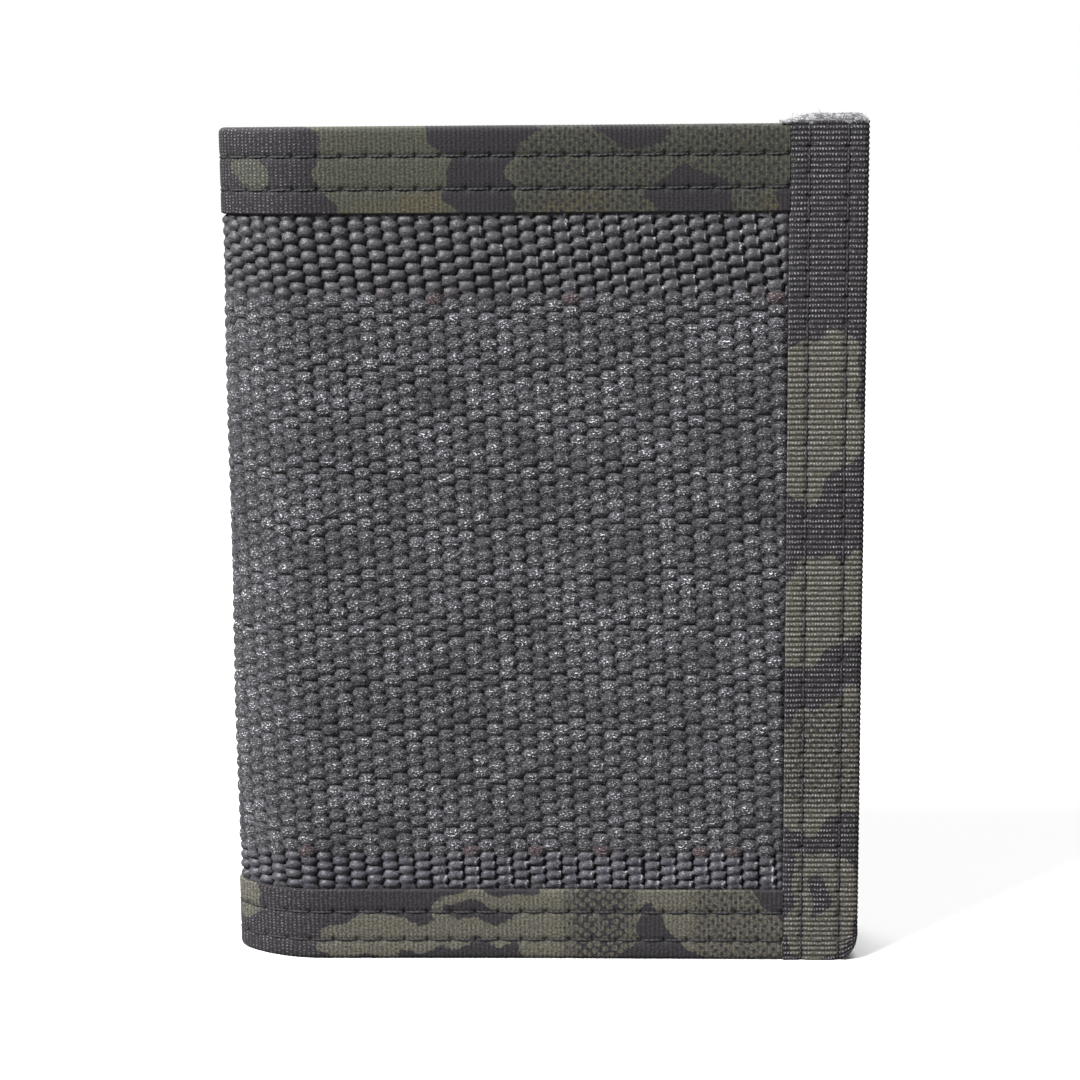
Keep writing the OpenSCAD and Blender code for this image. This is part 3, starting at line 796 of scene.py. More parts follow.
def camouflage(along, across, kind):
    """The olive field and the dotted field of a kind of tape."""
    u = along + 0.9 * np.sin(across * 0.8 + along * 0.31) + 0.35 * np.sin(across * 2.1)
    v = across + 0.7 * np.sin(along * 0.55) + 0.3 * np.sin(along * 1.35 + 1)
    olive_spots, dark_spots, dotted = PRINTS[kind]
    field = np.minimum(patches(u, v, olive_spots), -patches(u, v, dark_spots))
    inside = np.zeros(along.shape)
    for low, high, share in dotted:
        edges = smoothstep(along, low - 1.5, low + 1.5) * smoothstep(-along, -high - 1.5, -high + 1.5)
        inside = np.maximum(inside, share * edges)
    return field, inside


# How far each kind of tape's colours are lightened, and where along the strip the front view ends.
LIGHTER = {"top": 0.0, "bottom": 1.0, "front_end": 1.0, "inner_end": 1.0}
HIDDEN_FROM = 88
# Each kind's olive patches, dark patches and dotted stretches.
PRINTS = {
    "top": (TOP_OLIVE + scattered(3, HIDDEN_FROM, STRIP_END),
            TOP_DARK + scattered(4, HIDDEN_FROM + 2, STRIP_END)[::3], TOP_DOTTED),
    "bottom": (BOTTOM_OLIVE + scattered(5, HIDDEN_FROM, STRIP_END), BOTTOM_DARK, BOTTOM_DOTTED),
    "front_end": (END_OLIVE, END_DARK, END_DOTTED),
    "inner_end": (scattered(6, -4, CLOSED_H), [(60, 6, 4, 2, 0)], [(40, 70, 0.5)]),
}

# ---------------------------------------------------------------- binding tapes

RIB_PITCH = 0.56
END_RIB_PITCH = 0.635
RIB_RISE = 0.06
END_RIB_RISE = 0.11
# How far in from the fold of a tape its rows of stitches are.
TOP_ROWS = (3.5, 7.4)
BOTTOM_ROWS = (2.5, 6.1)
END_ROWS = (2.4, 7.0)
STITCH_PITCH = 2.95
STITCH_LENGTH = 2.5
TAPE_THREAD = 0.16
THIN_THREAD = 0.15
BEVEL_SHARE = 0.35


def u_section(width, core, thickness, rows, spacing=0.8):
    """A tape folded over an edge, as one closed outline of (e, depth): e is the distance from the fold.
    Returns e, depth, the outward normal, the distance across the tape, and 1 on its outer surface."""
    total = core + 2 * thickness
    radius = min(0.65, 0.45 * total)
    bevel = BEVEL_SHARE * thickness
    leaf = set(np.round(steps(radius, width - bevel, spacing), 4))
    for row in rows:
        leaf |= {round(row + k, 4) for k in (-0.6, -0.3, 0, 0.3, 0.6)}
    leaf = np.array(sorted(leaf, reverse=True))
    outline = [(width, -bevel, 0, -0.3)]
    outline += [(e, -thickness, 0, -1) for e in leaf]
    quarter = np.linspace(0.25, 1.0, 4) * math.pi / 2
    for turn in quarter:
        along, out = math.sin(turn), math.cos(turn)
        outline.append((radius - radius * along, -thickness + radius - radius * out, -along, -out))
    for turn in quarter[::-1]:
        along, out = math.sin(turn), math.cos(turn)
        outline.append((radius - radius * along, core + thickness - radius + radius * out, -along, out))
    outline += [(e, core + thickness, 0, 1) for e in leaf[::-1]]
    outline.append((width, core + bevel, 0, 0.3))
    outer = np.array(outline)
    inside = np.array([(width, core), (thickness, core), (thickness, 0), (width, 0)])
    across = np.concatenate([[0], np.cumsum(np.hypot(*np.diff(outer[:, :2], axis=0).T))])
    across = np.concatenate([across, np.full(4, across[-1])])
    loop = np.vstack([outer, np.hstack([inside, np.zeros((4, 2))])])
    shows = np.concatenate([np.ones(len(outer)), np.zeros(4)])
    return loop[:, 0], loop[:, 1], loop[:, 2:], across, shows


def stitch_dents(along, e, rows):
    """How deep the stitches pull the tape in, and how near each point is to a needle hole."""
    groove = np.zeros(np.broadcast_shapes(along.shape, e.shape))
    phase = np.mod(along, STITCH_PITCH)
    hole = hump(np.minimum(phase, STITCH_PITCH - phase), 0, 0.30)
    for row in rows:
        groove = groove + hump(e, row, 0.32)
    return groove * (0.12 + 0.22 * hole), groove * hole, groove


def fold_over(along, rib_pitch, section, rows, place, print_kind=None, rib_rise=RIB_RISE):
    """A tape folded over an edge. place(along, depth, e) gives its points."""
    e, depth, normal, across, shows = section
    grid = along[:, None]
    ribs = 0.5 - 0.5 * np.cos(2 * np.pi * grid / rib_pitch)
    ragged = 0.92 + 0.16 * chance(np.floor(grid / rib_pitch), 0, 21)
    dent, hole, groove = stitch_dents(grid, e, rows)
    rise = shows * (rib_rise * ribs * ragged - dent)
    points = place(grid, depth + normal[:, 1] * rise, e + normal[:, 0] * rise)
    # A rib's crest is at half a turn of its own count, so the count is moved on by a half.
    cloth = stack3(grid / rib_pitch + 0.5, across, grid)
    if print_kind is None:
        return part(points, cloth=cloth)
    olive, dotted = camouflage(*np.broadcast_arrays(grid, across), print_kind)
    lighter = LIGHTER[print_kind]
    return part(points, cloth=cloth, print=stack3(olive, dotted, 0), sewn=stack3(hole, groove, lighter))


def top_place(along, depth, e):
    return on_shell(along, depth, CLOSED_H - e)


def bottom_place(along, depth, e):
    return on_shell(along, depth, e)


def front_end_place(along, depth, e):
    return round_corner(on_shell(e - TAPE_T, depth, along), 0, 0)


def inner_end_place(along, depth, e):
    return on_shell(STRIP_END + TAPE_T - e, depth, along)


def stitch_row(along0, along1, row, face_depth, side, place, thick=THIN_THREAD):
    """A row of stitches on one side of a tape or cloth. side is -1 on the outer side and 1 inside."""
    first = math.ceil(along0 / STITCH_PITCH - 0.5)
    last = math.ceil(along1 / STITCH_PITCH - 0.5)
    k = np.arange(first, last)[:, None, None]
    t = np.array([0, 0.12, 0.35, 0.65, 0.88, 1])[None, :, None]
    angle = (np.arange(6) / 6 * 2 * math.pi)[None, None, :]
    slant = 0.16 * (chance(k, row, 31) - 0.2)
    sunk = np.sin(np.pi * np.clip(t, 0.06, 0.94)) ** 0.5
    radius = thick * (0.45 + 0.55 * sunk)
    along = (k + 0.5) * STITCH_PITCH + (t - 0.5) * STITCH_LENGTH
    depth = face_depth + side * (0.26 * sunk - 0.26) + radius * np.cos(angle)
    e = row + slant * (t - 0.5) + radius * np.sin(angle)
    along, depth, e, angle = np.broadcast_arrays(along, depth, e, angle)
    return part(place(along, depth, e), cloth=stack3(along, angle, k + row))


def both_sides(along0, along1, rows, core, place):
    """Rows of stitches on the outer and the inner leaf of a folded tape, if it is long enough for one."""
    if math.ceil(along0 / STITCH_PITCH - 0.5) == math.ceil(along1 / STITCH_PITCH - 0.5):
        return []
    faces = ((-TAPE_T, -1), (core + TAPE_T, 1))
    return [stitch_row(along0, along1, row, depth, side, place, TAPE_THREAD)
            for row in rows for depth, side in faces]


def edge_tape(panel, kind, core, ends, samples):
    """The tape part and the stitches on one edge of a panel or fold. samples is the number to a rib."""
    width, rows, place = {
        "top": (TOP_W, TOP_ROWS, top_place), "bottom": (BOTTOM_W, BOTTOM_ROWS, bottom_place),
    }[kind]
    section = u_section(width, core, TAPE_T, rows)
    tape = fold_over(steps(*ends, RIB_PITCH / samples), RIB_PITCH, section, rows, place, kind)
    return tape, both_sides(*ends, rows, core, place)


# The flaps' top and bottom tapes end under the tapes of their free edges.
FRONT_TAPE_S = END_W - TAPE_T
INNER_TAPE_S = STRIP_END - END_W + TAPE_T


def panel_tapes(panel, bottom_core, ends, samples=3):
    """A panel's top and bottom tapes, as a piece each, and their thread as one piece."""
    thread = []
    for kind, core in (("top", WEB_T), ("bottom", bottom_core)):
        tape, stitches = edge_tape(panel, kind, core, ends, samples)
        piece(f"{panel}_{kind}_binding", panel, [tape], TAPE, [f"{panel}_{kind}_tape"])
        thread += stitches
    piece(f"{panel}_edge_stitching", panel, thread, THREAD)


def fold_tapes(panel, samples):
    """A fold's or spine's top and bottom tapes as one piece, and their thread."""
    made = [edge_tape(panel, kind, WEB_T, SPAN[panel], samples) for kind in ("top", "bottom")]
    piece(f"{panel}_binding", panel, [tape for tape, _ in made], TAPE, [f"{panel}_tapes"])
    thread = made[0][1] + made[1][1]
    if thread:
        piece(f"{panel}_stitching", panel, thread, THREAD)


panel_tapes("front", FLAP_CORE, (FRONT_TAPE_S, SPAN["front"][1]), 4)
panel_tapes("back", BACK_CORE, SPAN["back"])
panel_tapes("inner", FLAP_CORE, (SPAN["inner"][0], INNER_TAPE_S))
for fold in STEPS:
    if fold not in ("front", "back", "inner"):
        fold_tapes(fold, 4 if fold in SEEN_FROM_FRONT else 3)


def dark_tape(points, cloth, fray=0.0):
    """A part of an edge tape with no olive print or stitches on it."""
    zeros = np.zeros(points.shape[:-1])
    return part(points, cloth=cloth, print=stack3(zeros - 1, 0, fray), sewn=stack3(zeros, 0, 0))


def end_cap(low, high, place, fray=0.0, flare=0.0):
    """A pad that closes the end of a free edge's tape, between its two leaves, from low to high along it.
    A frayed one reaches past the tape by flare, is a thin wedge there, and is rounded at the fold."""
    e = np.linspace(END_W + flare, 0.15, 60)[:, None]
    angle = (np.arange(24) / 24 * 2 * math.pi)[None, :]
    wedge = 0.62 * smoothstep(e, END_W - 3, END_W + flare)
    corner = 0.55 * smoothstep(-e, -1.5, 0) ** 2
    top = high - fray * (high - low) * (wedge + corner)
    half_depth = FLAP_CORE / 2 + TAPE_T
    square = np.maximum(np.abs(np.cos(angle)), np.abs(np.sin(angle))) ** 0.82
    column = np.arange(len(e))[:, None]
    around = np.arange(angle.size)[None, :]
    rough = fray * 0.13
    depth = FLAP_CORE / 2 + half_depth * np.cos(angle) / square * 1.04
    depth = depth + rough * (chance(column, around, 41) - 0.5)
    along = (low + top) / 2 + (top - low) / 2 * np.sin(angle) / square
    along = along + rough * (chance(column, around, 42) - 0.35)
    grid_e = np.broadcast_to(e, depth.shape)
    return dark_tape(place(along, depth, grid_e), stack3(grid_e / END_RIB_PITCH, depth, along), fray)


def corner_strip():
    """The tape's turned edge under the front flap's free end, round its lower corner."""
    turn = np.linspace(0, math.pi / 2, 9)[1:]
    straight = steps(END_W, CORNER_R, 0.2)[::-1]
    arc = CORNER_R - 0.05
    e = np.concatenate([straight, CORNER_R - arc * np.sin(turn)])
    z = np.concatenate([np.full(len(straight), 0.05), CORNER_R - arc * np.cos(turn)])
    inward_e = np.concatenate([np.zeros(len(straight)), np.sin(turn)])[:, None]
    inward_z = np.concatenate([np.ones(len(straight)), np.cos(turn)])[:, None]
    low, high = -TAPE_T + 0.06, FLAP_CORE + TAPE_T - 0.06
    depth = np.concatenate([np.linspace(low, high, 7), np.linspace(high, low, 7)])
    lift = np.concatenate([[0.35, 0.1, 0, 0, 0, 0.1, 0.35], np.full(7, TAPE_T + 0.3)])
    points = on_shell(e[:, None] + inward_e * lift - TAPE_T, depth, z[:, None] + inward_z * lift)
    run = np.concatenate([[0], np.cumsum(np.hypot(np.diff(e), np.diff(z)))])[:, None]
    return dark_tape(points, stack3(run / END_RIB_PITCH, depth, run))


def hairs(count, radius, length, origin, spread, lean):
    """Short curved fibres that start near origin(n) and lean the way that lean says."""
    t = np.linspace(0, 1, 5)[None, :, None]
    angle = (np.arange(4) / 4 * 2 * math.pi)[None, None, :]
    start = origin(count)[:, None, None, :]
    aim = rng.normal(0, spread, (count, 1, 1, 3)) + lean
    curl = rng.normal(0, 0.7, (count, 1, 1, 3))
    size = length * rng.uniform(0.4, 1.0, (count, 1, 1, 1))
    line = start + size * (aim * t[..., None] + curl * t[..., None] ** 2)
    ring = np.stack([np.cos(angle), np.sin(angle), 0 * angle], axis=-1)
    side = np.stack([np.cos(angle), 0 * angle, np.sin(angle)], axis=-1)
    return line + radius * (1 - 0.6 * t[..., None]) * (ring + side) / 1.4


def fray_hairs():
    """The loose fibres on the folded end of the front flap's edge tape."""
    def origin(count):
        e = rng.uniform(0.2, END_W + 0.1, count)
        depth = np.where(rng.random(count) < 0.7, -TAPE_T - 0.05, rng.uniform(-TAPE_T, FLAP_CORE, count))
        return front_end_place(rng.uniform(CLOSED_H + 0.2, END_TOP, count), depth, e)

    points = hairs(70, 0.03, 0.4, origin, 0.5, np.array([0, -0.3, -0.35]))
    return dark_tape(points, stack3(0, points[..., 0], points[..., 2]), 1.0)


def end_binding(panel, place, top, ends):
    """The tape on a flap's free edge, with the parts that close its ends."""
    section = u_section(END_W, FLAP_CORE, TAPE_T, END_ROWS)
    along = steps(0.05, top, END_RIB_PITCH / 4)
    tape = fold_over(along, END_RIB_PITCH, section, END_ROWS, place, f"{panel}_end", END_RIB_RISE)
    piece(f"{panel}_end_binding", panel, [tape, *ends], END_TAPE, [f"{panel}_end_tape"])


def end_thread(panel, place, *others):
    """The thread of a free edge's tape."""
    rows = both_sides(1.0, CLOSED_H - 0.8, END_ROWS, FLAP_CORE, place)
    piece(f"{panel}_end_stitching", panel, [*rows, *others], THREAD)


FRAYED_END = end_cap(CLOSED_H - 0.1, END_TOP, front_end_place, 1.0, 1.0)
end_binding("front", front_end_place, CLOSED_H + 0.3, [FRAYED_END, corner_strip(), fray_hairs()])
# The bottom tape's outer row goes on across the front flap's edge tape.
end_thread("front", front_end_place,
           stitch_row(0, END_W - 2.4, BOTTOM_ROWS[0], -TAPE_T, -1, bottom_place, TAPE_THREAD))
end_binding("inner", inner_end_place, CLOSED_H,
            [end_cap(CLOSED_H - 0.7, CLOSED_H, inner_end_place), end_cap(0.0, 0.7, inner_end_place)])
end_thread("inner", inner_end_place)

# ---------------------------------------------------------------- linings and pockets


def two_faced(front, back, cloth, closed=False):
    """A part between two grids of points, with the same cloth on both."""
    points = np.concatenate([front, back[:, ::-1]], axis=1)
    return part(points, closed, cloth=np.concatenate([cloth, cloth[:, ::-1]], axis=1))


def sheet_part(across, along, place, near, far, hem=0.0, sag=0.0):
    """A sheet of cloth between two depths. place(across, depth, along) gives its points.
    hem is the height of the doubled cloth at its upper edge."""
    grid_a, grid_b = np.meshgrid(across, along, indexing="ij")
    middle_a = (grid_a - across[0]) / (across[-1] - across[0])
    middle_b = (grid_b - along[0]) / (along[-1] - along[0])
    wrinkle = 0.05 * np.sin(grid_a * 0.21 + 0.7) * np.sin(grid_b * 0.13) - 0.04
    slack = sag * np.sin(np.pi * middle_a) * middle_b ** 3
    doubled = 0.09 * (grid_b > along[-1] - hem) if hem else 0.0
    front = place(grid_a, near + 0.1 - wrinkle * 0.5 - doubled - slack, grid_b)
    back = place(grid_a, far - 0.06 - slack, grid_b)
    return two_faced(front, back, stack3(grid_a, grid_b, 0))


def cloth_piece(name, panel, parts, node, ends=None):
    piece(name, panel, parts, LINING, [node], ends)


def flap_cloth(panel, node, name, depth, hem=0.0):
    """A flap's lining or slip pocket, at a depth below the webbing's outer face."""
    low, high = box_mm(node)
    edges = [high[2] - hem - 0.05, high[2] - hem + 0.05]
    along = np.unique(np.concatenate([steps(low[2], high[2], 1.0), edges]))
    along = along[along <= high[2]]

    def place(a, d, b):
        # The side that shows when the wallet is open is the deep one, so the depths change places.
        points = on_strip(a, 2 * depth + CLOTH_T - d, b)
        return round_corner(points, WEB_Z0) if panel == "front" else points

    made = sheet_part(steps(*SPAN[panel], 1.0), along, place, depth, depth + CLOTH_T, hem)
    cloth_piece(name, panel, [made], node)


POCKET_DEPTH = LINING_DEPTH + CLOTH_T
POCKET_HEM = 8.0
for flap in ("front", "inner"):
    flap_cloth(flap, f"{flap}_lining", f"{flap}_flap_lining", LINING_DEPTH)
    flap_cloth(flap, f"{flap}_slip_pocket", f"{flap}_slip_pocket_cloth", POCKET_DEPTH, POCKET_HEM)


def strip_lining(panel):
    """The lining round the inside of a fold or spine, slightly creased."""
    low, high = box_mm(f"{panel}_lining")

    def place(a, d, b):
        return on_strip(a, d + 0.12 * np.sin(b * 0.33 + a) * np.sin(b * 0.11), b)

    made = sheet_part(steps(*SPAN[panel], 0.6), steps(low[2], high[2], 1.2), place,
                      LINING_DEPTH + 0.1, LINING_DEPTH + CLOTH_T)
    cloth_piece(f"{panel}_inner_lining", panel, [made], f"{panel}_lining")


for fold in ("left_fold_front", "left_spine", "right_spine", "right_fold_front"):
    strip_lining(fold)

BLOCK_LOW, BLOCK_HIGH = box_mm("card_pocket_rear")
SIDE_TAPE_HIGH = box_mm("pocket_right_tape")[1]


def slack_lining(panel, side):
    """The lining that hangs slack between the card pockets and a spine."""
    node = f"{panel}_lining"
    low, high = box_mm(node)
    spine = box_mm("left_spine_lining" if side < 0 else "right_spine_lining")
    edge = np.array([side * SIDE_TAPE_HIGH[0], low[1] + CLOTH_T / 2])
    far = np.array([(spine[0][0] + spine[1][0]) / 2, spine[1][1] + CLOTH_T / 2])
    belly = np.array([edge[0] + 1.2 * side, low[1] + 3.2])
    t = np.linspace(0, 1, 13)[:, None]
    line = (1 - t) ** 2 * edge + 2 * t * (1 - t) * belly + t ** 2 * far
    slope = np.gradient(line, axis=0)
    normal = np.stack([-slope[:, 1], slope[:, 0]], axis=1)
    normal /= np.linalg.norm(normal, axis=1, keepdims=True)
    run = np.concatenate([[0], np.cumsum(np.linalg.norm(np.diff(line, axis=0), axis=1))])
    grid_run, grid_z = np.meshgrid(run, steps(low[2], high[2], 1.2), indexing="ij")
    crease = 0.15 * np.sin(grid_z * 0.21 + grid_run) * np.sin(np.pi * t)
    faces = []
    for offset in (-0.15, 0.15):
        plan = line[:, None, :] + normal[:, None, :] * (offset + crease)[..., None]
        faces.append(np.concatenate([plan, grid_z[..., None]], axis=-1))
    ends = (np.array([*edge, CLOSED_H / 2]), np.array([*far, CLOSED_H / 2]))
    cloth_piece(f"{panel}_slack_lining", panel, [two_faced(*faces, stack3(grid_run, grid_z, 0))], node, ends)


slack_lining("left_fold_back", -1)
slack_lining("right_fold_back", 1)


def back_lining():
    """The back panel's lining: it leaves the bottom tape, slants forward and then stands flat."""
    low, high = box_mm("back_lining")
    foot_y = BACK_LOW[1] - CLOTH_T / 2
    belly_y = low[1] + CLOTH_T / 2
    z = zones([low[2], BOTTOM_W, BOTTOM_W + 7, high[2]], [1.5, 0.5, 1.5])
    grid_x, grid_z = np.meshgrid(steps(BLOCK_LOW[0], BLOCK_HIGH[0], 1.0), z, indexing="ij")
    share = smoothstep(grid_z, BOTTOM_W, BOTTOM_W + 6)
    y = foot_y + (belly_y - foot_y) * share
    narrow = BACK_HIGH[0] / BLOCK_HIGH[0]
    wide_x = grid_x * (narrow + (1 - narrow) * share)
    faces = [stack3(wide_x, y + offset, grid_z) for offset in (-0.17, 0.17)]
    cloth_piece("back_panel_lining", "back", [two_faced(*faces, stack3(grid_x, grid_z, 0))], "back_lining")


def card_pocket(node, hem=6.0):
    """One card pocket: a flat cloth with a doubled mouth."""
    low, high = box_mm(node)
    z = np.concatenate([steps(low[2], high[2] - hem - 0.1, 1.0), steps(high[2] - hem, high[2], 1.0)])
    made = sheet_part(steps(low[0] + 0.1, high[0] - 0.1, 1.0), z, stack3, low[1], high[1], hem, 0.04)
    cloth_piece(f"{node}_cloth", "back", [made], node)


CARD_LOW, CARD_HIGH = box_mm("card_pocket_front")
FILM_LOW, FILM_HIGH = box_mm("id_window_film")
FILM_OVERLAP = 3.0
WINDOW_LOW = FILM_LOW + FILM_OVERLAP
WINDOW_HIGH = FILM_HIGH - FILM_OVERLAP


def rectangle(low, high, counts, radius=0.0):
    """Points round a rectangle in x and z, corner by corner. Its corners are round if radius isn't 0."""
    corners = [(low[0], low[2]), (high[0], low[2]), (high[0], high[2]), (low[0], high[2])]
    points = []
    for k, count in enumerate(counts):
        a, b = np.array(corners[k]), np.array(corners[(k + 1) % 4])
        points.append(a + (b - a) * np.linspace(0, 1, count, endpoint=False)[:, None])
    ring = np.concatenate(points)
    if radius:
        core = np.clip(ring, low[[0, 2]] + radius, high[[0, 2]] - radius)
        away = ring - core
        reach = np.linalg.norm(away, axis=1, keepdims=True)
        ring = core + away * np.where(reach > radius, radius / np.maximum(reach, 1e-9), 1)
    return ring


def window_pocket():
    """The front card pocket, whose cloth is turned in and sewn round the identity window."""
    counts = (40, 30, 40, 30)
    outer = rectangle(CARD_LOW, CARD_HIGH, counts)
    inner = rectangle(WINDOW_LOW, WINDOW_HIGH, counts, 1.5)
    share = np.array([0, 0.05, 0.3, 0.32, 0.7, 0.95, 1.0])
    raised = np.array([0.0, 0.05, 0.06, 0.0, 0.0, 0.05, 0.0])
    plan = inner[:, None] + (outer - inner)[:, None] * share[None, :, None]
    x, z = plan[..., 0], plan[..., 1]
    front = stack3(x, CARD_LOW[1] + 0.1 - raised, z)
    made = two_faced(front, stack3(x, CARD_HIGH[1] - 0.05, z), stack3(x, z, 0), closed=True)
    cloth_piece("card_pocket_front_cloth", "back", [made], "card_pocket_front")


def window_film():
    """The clear film behind the window, slightly buckled."""
    x = steps(FILM_LOW[0], FILM_HIGH[0], 1.5)
    z = steps(FILM_LOW[2], FILM_HIGH[2], 1.5)
    grid_x, grid_z = np.meshgrid(x, z, indexing="ij")
    buckle = 0.05 * np.sin(grid_x * 0.2) * np.sin(grid_z * 0.16)
    faces = [stack3(grid_x, y + buckle, grid_z) for y in (FILM_LOW[1] + 0.06, FILM_HIGH[1] - 0.06)]
    made = two_faced(*faces, stack3(grid_x, grid_z, 0))
    piece("id_window_clear_film", "back", [made], FILM, ["id_window_film"])


back_lining()
card_pocket("card_pocket_rear")
card_pocket("card_pocket_middle")
window_pocket()
window_film()

# ---------------------------------------------------------------- narrow tapes

NARROW_RIB = 0.6
NARROW_RISE = 0.04
MOUTH_W = MOUTH_HIGH[2] - MOUTH_LOW[2]
MOUTH_ROW = 4.6


def narrow_tape(name, panel, node, ends, width, core, place, spacing=1.2):
    """A narrow tape folded over an edge of width and core, between two places along it."""
    section = u_section(width, core, THIN_T, (), spacing)
    tape = fold_over(steps(*ends, NARROW_RIB / 3), NARROW_RIB, section, (), place, rib_rise=NARROW_RISE)
    piece(name, panel, [tape], NARROW, [node])


def flap_mouth_place(along, d, e):
    return on_strip(along, LINING_DEPTH + d, MOUTH_HIGH[2] - e)


def back_mouth_place(along, d, e):
    return stack3(along, BACK_LINING_LOW[1] + d, MOUTH_HIGH[2] - e)


BACK_LINING_LOW = box_mm("back_lining")[0]
FLAP_ENDS = {"front": (FRONT_TAPE_S, SPAN["front"][1]), "inner": (SPAN["inner"][0], INNER_TAPE_S)}
BLOCK_ENDS = (BLOCK_LOW[0], BLOCK_HIGH[0])
MOUTHS = [("front", FLAP_ENDS["front"], flap_mouth_place), ("inner", FLAP_ENDS["inner"], flap_mouth_place),
          ("back", BLOCK_ENDS, back_mouth_place)]
for panel_name, mouth_ends, mouth_place in MOUTHS:
    narrow_tape(f"{panel_name}_lining_mouth_binding", panel_name, f"{panel_name}_lining_mouth_tape",
                mouth_ends, MOUTH_W, CLOTH_T, mouth_place)


def side_tape(side_name, side):
    """The narrow tape folded over a side edge of the card pockets. Returns its row of stitches."""
    node = f"pocket_{side_name}_tape"
    low, high = box_mm(node)
    outer_x = high[0] if side > 0 else low[0]

    def place(along, d, e):
        return stack3(outer_x - side * e, low[1] + THIN_T + d, along)

    narrow_tape(f"pocket_{side_name}_binding", "back", node, (low[2], high[2]), high[0] - low[0],
                high[1] - low[1] - 2 * THIN_T, place, 1.0)
    return stitch_row(low[2] + 1, high[2] - 1, 2.6, -THIN_T, -1, place)


side_stitches = [side_tape("left", -1), side_tape("right", 1)]


def upright_place(along, d, e):
    return stack3(e, d, along)


def cloth_row(x0, x1, z, y):
    """A row of stitches along x on the cloth of the back panel."""
    return stitch_row(x0, x1, z, y, -1, stack3)


def pocket_thread():
    """The thread of the card pockets, the window and the mouth tape, on the back panel."""
    rows = list(side_stitches)
    inset = 4.5
    for node, hem in (("card_pocket_rear", 4.5), ("card_pocket_middle", 4.5), ("card_pocket_front", 2.0)):
        low, high = box_mm(node)
        rows.append(cloth_row(low[0] + inset, high[0] - inset, high[2] - hem, low[1] + 0.05))
    face = CARD_LOW[1] + 0.05
    rows.append(cloth_row(CARD_LOW[0] + inset, CARD_HIGH[0] - inset, CARD_LOW[2] + 2.0, face))
    low, high = WINDOW_LOW - 1.6, WINDOW_HIGH + 1.6
    for z in (low[2], high[2]):
        rows.append(cloth_row(low[0], high[0], z, face))
    for x in (low[0], high[0]):
        rows.append(stitch_row(low[2], high[2], x, face, -1, upright_place))
    rows.append(stitch_row(*BLOCK_ENDS, MOUTH_ROW, -THIN_T, -1, back_mouth_place))
    piece("card_pocket_stitching", "back", rows, THREAD)


def flap_thread(panel):
    """The thread of a flap's mouth tape and slip pocket hem."""
    hem_z = box_mm(f"{panel}_slip_pocket")[1][2] - POCKET_HEM + 1.2
    ends = FLAP_ENDS[panel]
    rows = [stitch_row(*ends, MOUTH_ROW, CLOTH_T + THIN_T, 1, flap_mouth_place),
            stitch_row(*ends, hem_z, POCKET_DEPTH + CLOTH_T - 0.1, 1, on_strip)]
    piece(f"{panel}_lining_stitching", panel, rows, THREAD)


pocket_thread()
flap_thread("front")
flap_thread("inner")

# ---------------------------------------------------------------- hook and loop closure


def backing(low, high, y_base, y_face):
    """A closure strip's woven backing, with rounded edges."""
    size = 0.9
    x = steps(low[0], high[0], size)
    z = steps(low[2], high[2], size)
    grid_x, grid_z = np.meshgrid(x, z, indexing="ij")
    edge = np.minimum.reduce([grid_x - low[0], high[0] - grid_x, grid_z - low[2], high[2] - grid_z])
    rise = np.sqrt(np.clip(edge / size, 0, 1))
    face = y_base + (y_face - y_base) * (0.5 + 0.5 * rise)
    faces = [stack3(grid_x, y, grid_z) for y in (face, y_base)]
    return two_faced(*faces, stack3(grid_x, grid_z, 0.3))


def bent_fibres(x, z, y_base, height, radius, path, turn):
    """Small bent tubes that stand on a strip. path is the (out, aside) line of one, and turn its heading."""
    count = len(x)
    out, aside = path[:, 0], path[:, 1]
    heading = np.array([np.cos(turn), np.sin(turn)]).T[:, None, :]
    plan = np.stack([x, z], axis=1)[:, None, :] + heading * aside[None, :, None]
    y = y_base + height * out[None, :] + 0 * x[:, None]
    line = np.stack([plan[..., 0], y, plan[..., 1]], axis=-1)[:, :, None, :]
    angle = np.arange(5) / 5 * 2 * math.pi
    across = np.stack([-np.sin(turn), np.zeros(count), np.cos(turn)], axis=1)[:, None, None, :]
    slope = np.gradient(line[:, :, 0], axis=1)
    slope /= np.linalg.norm(slope, axis=-1, keepdims=True)
    other = np.cross(slope[:, :, None, :], across)
    angle = angle[None, None, :, None]
    points = line + radius * (np.cos(angle) * across + np.sin(angle) * other)
    random = np.broadcast_to(rng.random(count)[:, None, None], points.shape[:3])
    return part(points, cloth=stack3(points[..., 0], points[..., 2], random))


def lattice(low, high, pitch, inset=1.3):
    """Staggered places on a strip, as x and z."""
    x = np.arange(low[0] + inset, high[0] - inset, pitch)
    z = np.arange(low[2] + inset, high[2] - inset, pitch)
    grid_x, grid_z = np.meshgrid(x, z)
    grid_x = grid_x + (np.arange(len(z)) % 2)[:, None] * pitch / 2
    keep = grid_x < high[0] - inset
    return grid_x[keep], grid_z[keep]


HOOK_PATH = np.array([(0, 0), (0.5, 0.02), (0.85, 0.10), (1.0, 0.28), (0.9, 0.46), (0.7, 0.5)])
LOOP_PATH = np.array([(0, -0.42), (0.6, -0.36), (0.95, -0.1), (0.9, 0.2), (0.5, 0.42), (0, 0.4)])


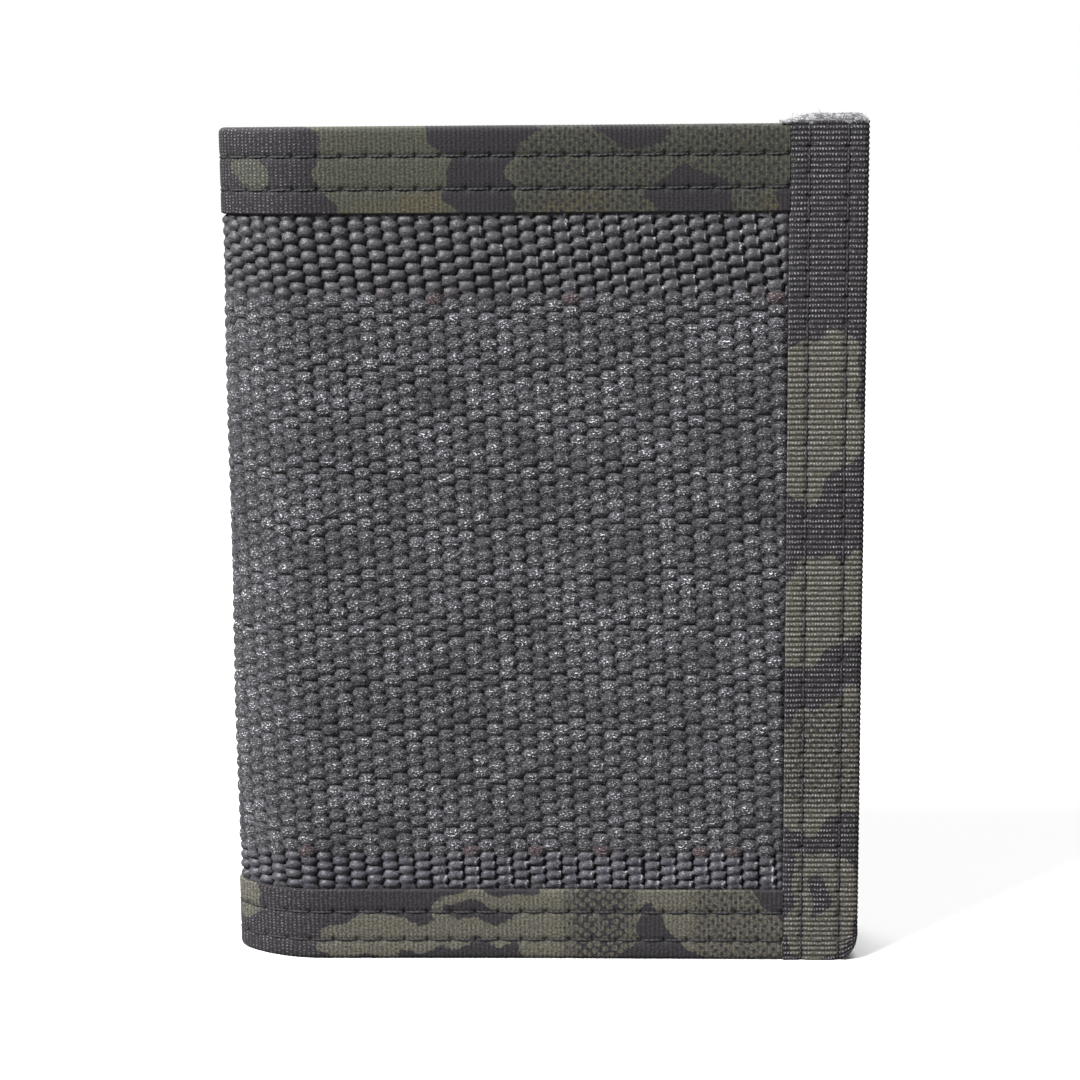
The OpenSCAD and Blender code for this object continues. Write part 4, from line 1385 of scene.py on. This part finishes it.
def closure_strip(slot, panel, outward, pitch, path, radius, material):
    """One half of the closure. outward is -1 where it faces the front, and 1 where it faces the back."""
    node = f"{slot}_strip"
    low, high = box_mm(node)
    base, tip = (low[1], high[1]) if outward > 0 else (high[1], low[1])
    face = base + outward * 0.4
    x, z = lattice(low, high, pitch)
    turn = np.where(rng.random(len(x)) < 0.5, 0.0, math.pi) + rng.normal(0, 0.25, len(x))
    if slot == "loop":
        turn = rng.uniform(0, 2 * math.pi, len(x))
    fibres = bent_fibres(x, z, face - outward * 0.08, tip - face - outward * 0.04, radius, path, turn)
    piece(f"{slot}_fastener_strip", panel, [backing(low, high, base, face), fibres], material, [node])
    rows = [stitch_row(low[2] + 1, high[2] - 1, x_row, base + outward * 0.32, outward, upright_place)
            for x_row in (low[0] + 0.9, high[0] - 0.9)]
    piece(f"{slot}_strip_stitching", panel, rows, THREAD)


closure_strip("hook", "front", 1, 1.5, HOOK_PATH, 0.09, HOOKS)
closure_strip("loop", "inner", -1, 1.05, LOOP_PATH, 0.06, LOOPS)

# ---------------------------------------------------------------- floor, light and camera

SURROUND_LIGHT = 0.12
CAMERA_AZIMUTH = math.radians(1.75)
CAMERA_ELEVATION = math.radians(9.8)
CAMERA_ROLL = math.radians(-0.44)
CAMERA_DISTANCE = 0.3014
CAMERA_LENS = 79.7
CAMERA_TARGET = np.array([-0.0005, 0.0, 0.0515])
LIGHT_TARGET = (0, 0, 0.05)


def floor():
    """A wide, plain, pale floor."""
    mesh = bpy.data.meshes.new("floor")
    size = 3.0
    corners = [(-size, -size, 0), (size, -size, 0), (size, size, 0), (-size, size, 0)]
    mesh.from_pydata(corners, [], [(0, 1, 2, 3)])
    obj = add_object("floor", mesh)
    material, shader = new_material("pale_floor", Roughness=0.9)
    tree = shader.id_data
    spots = noise(tree.nodes.new("ShaderNodeTexCoord").outputs["Object"], 3.0)
    tree.links.new(mix(spots, (0.86, 0.86, 0.86), (0.90, 0.90, 0.90)), shader.inputs["Base Color"])
    mesh.materials.append(material)
    # The floor doesn't throw light back up, so the weave keeps its shadows.
    obj.visible_diffuse = False
    obj.visible_glossy = False


def aim(obj, place, target):
    obj.location = place
    obj.rotation_mode = "QUATERNION"
    obj.rotation_quaternion = Vector(np.array(target) - np.array(place)).to_track_quat("-Z", "Y")


def light(name, kind, power, place, target, **settings):
    """A light that points at the target."""
    data = bpy.data.lights.new(name, kind)
    data.energy = power
    for key, value in settings.items():
        setattr(data, key, value)
    aim(add_object(name, data), place, target)


def studio():
    """A dim white surround, a soft key from the upper left, a weak fill and a light over the floor."""
    world = bpy.data.worlds.new("white_surround")
    world.use_nodes = True
    tree = world.node_tree
    background = tree.nodes["Background"]
    # The camera sees the surround as white, and everything else is lit dimly by it.
    seen = tree.nodes.new("ShaderNodeLightPath").outputs["Is Camera Ray"]
    tree.links.new(ramp(seen, 0, 1, SURROUND_LIGHT, 1.0), background.inputs["Strength"])
    background.inputs["Color"].default_value = (1, 1, 1, 1)
    bpy.context.scene.world = world
    light("key", "AREA", 55.0, (-0.86, -0.74, 1.14), LIGHT_TARGET, size=0.45)
    light("fill", "AREA", 1.5, (0.35, -0.6, 0.03), LIGHT_TARGET, size=0.4)
    light("floor_light", "SUN", 3.4, (0.0, 0.6, 1.2), (0, 0, 0), angle=math.radians(40))
    bpy.context.scene.view_settings.view_transform = "Standard"


def camera():
    """The camera in front of the wallet, a little above it."""
    data = bpy.data.cameras.new("camera")
    data.lens = CAMERA_LENS
    data.sensor_width = 36.0
    data.clip_start = 0.01
    obj = add_object("camera", data)
    back = np.array([
        math.sin(CAMERA_AZIMUTH) * math.cos(CAMERA_ELEVATION),
        -math.cos(CAMERA_AZIMUTH) * math.cos(CAMERA_ELEVATION),
        math.sin(CAMERA_ELEVATION),
    ])
    aim(obj, CAMERA_TARGET + back * CAMERA_DISTANCE, CAMERA_TARGET)
    roll = Matrix.Rotation(CAMERA_ROLL, 4, "Z").to_quaternion()
    obj.rotation_quaternion = obj.rotation_quaternion @ roll
    bpy.context.scene.camera = obj


floor()
studio()
camera()
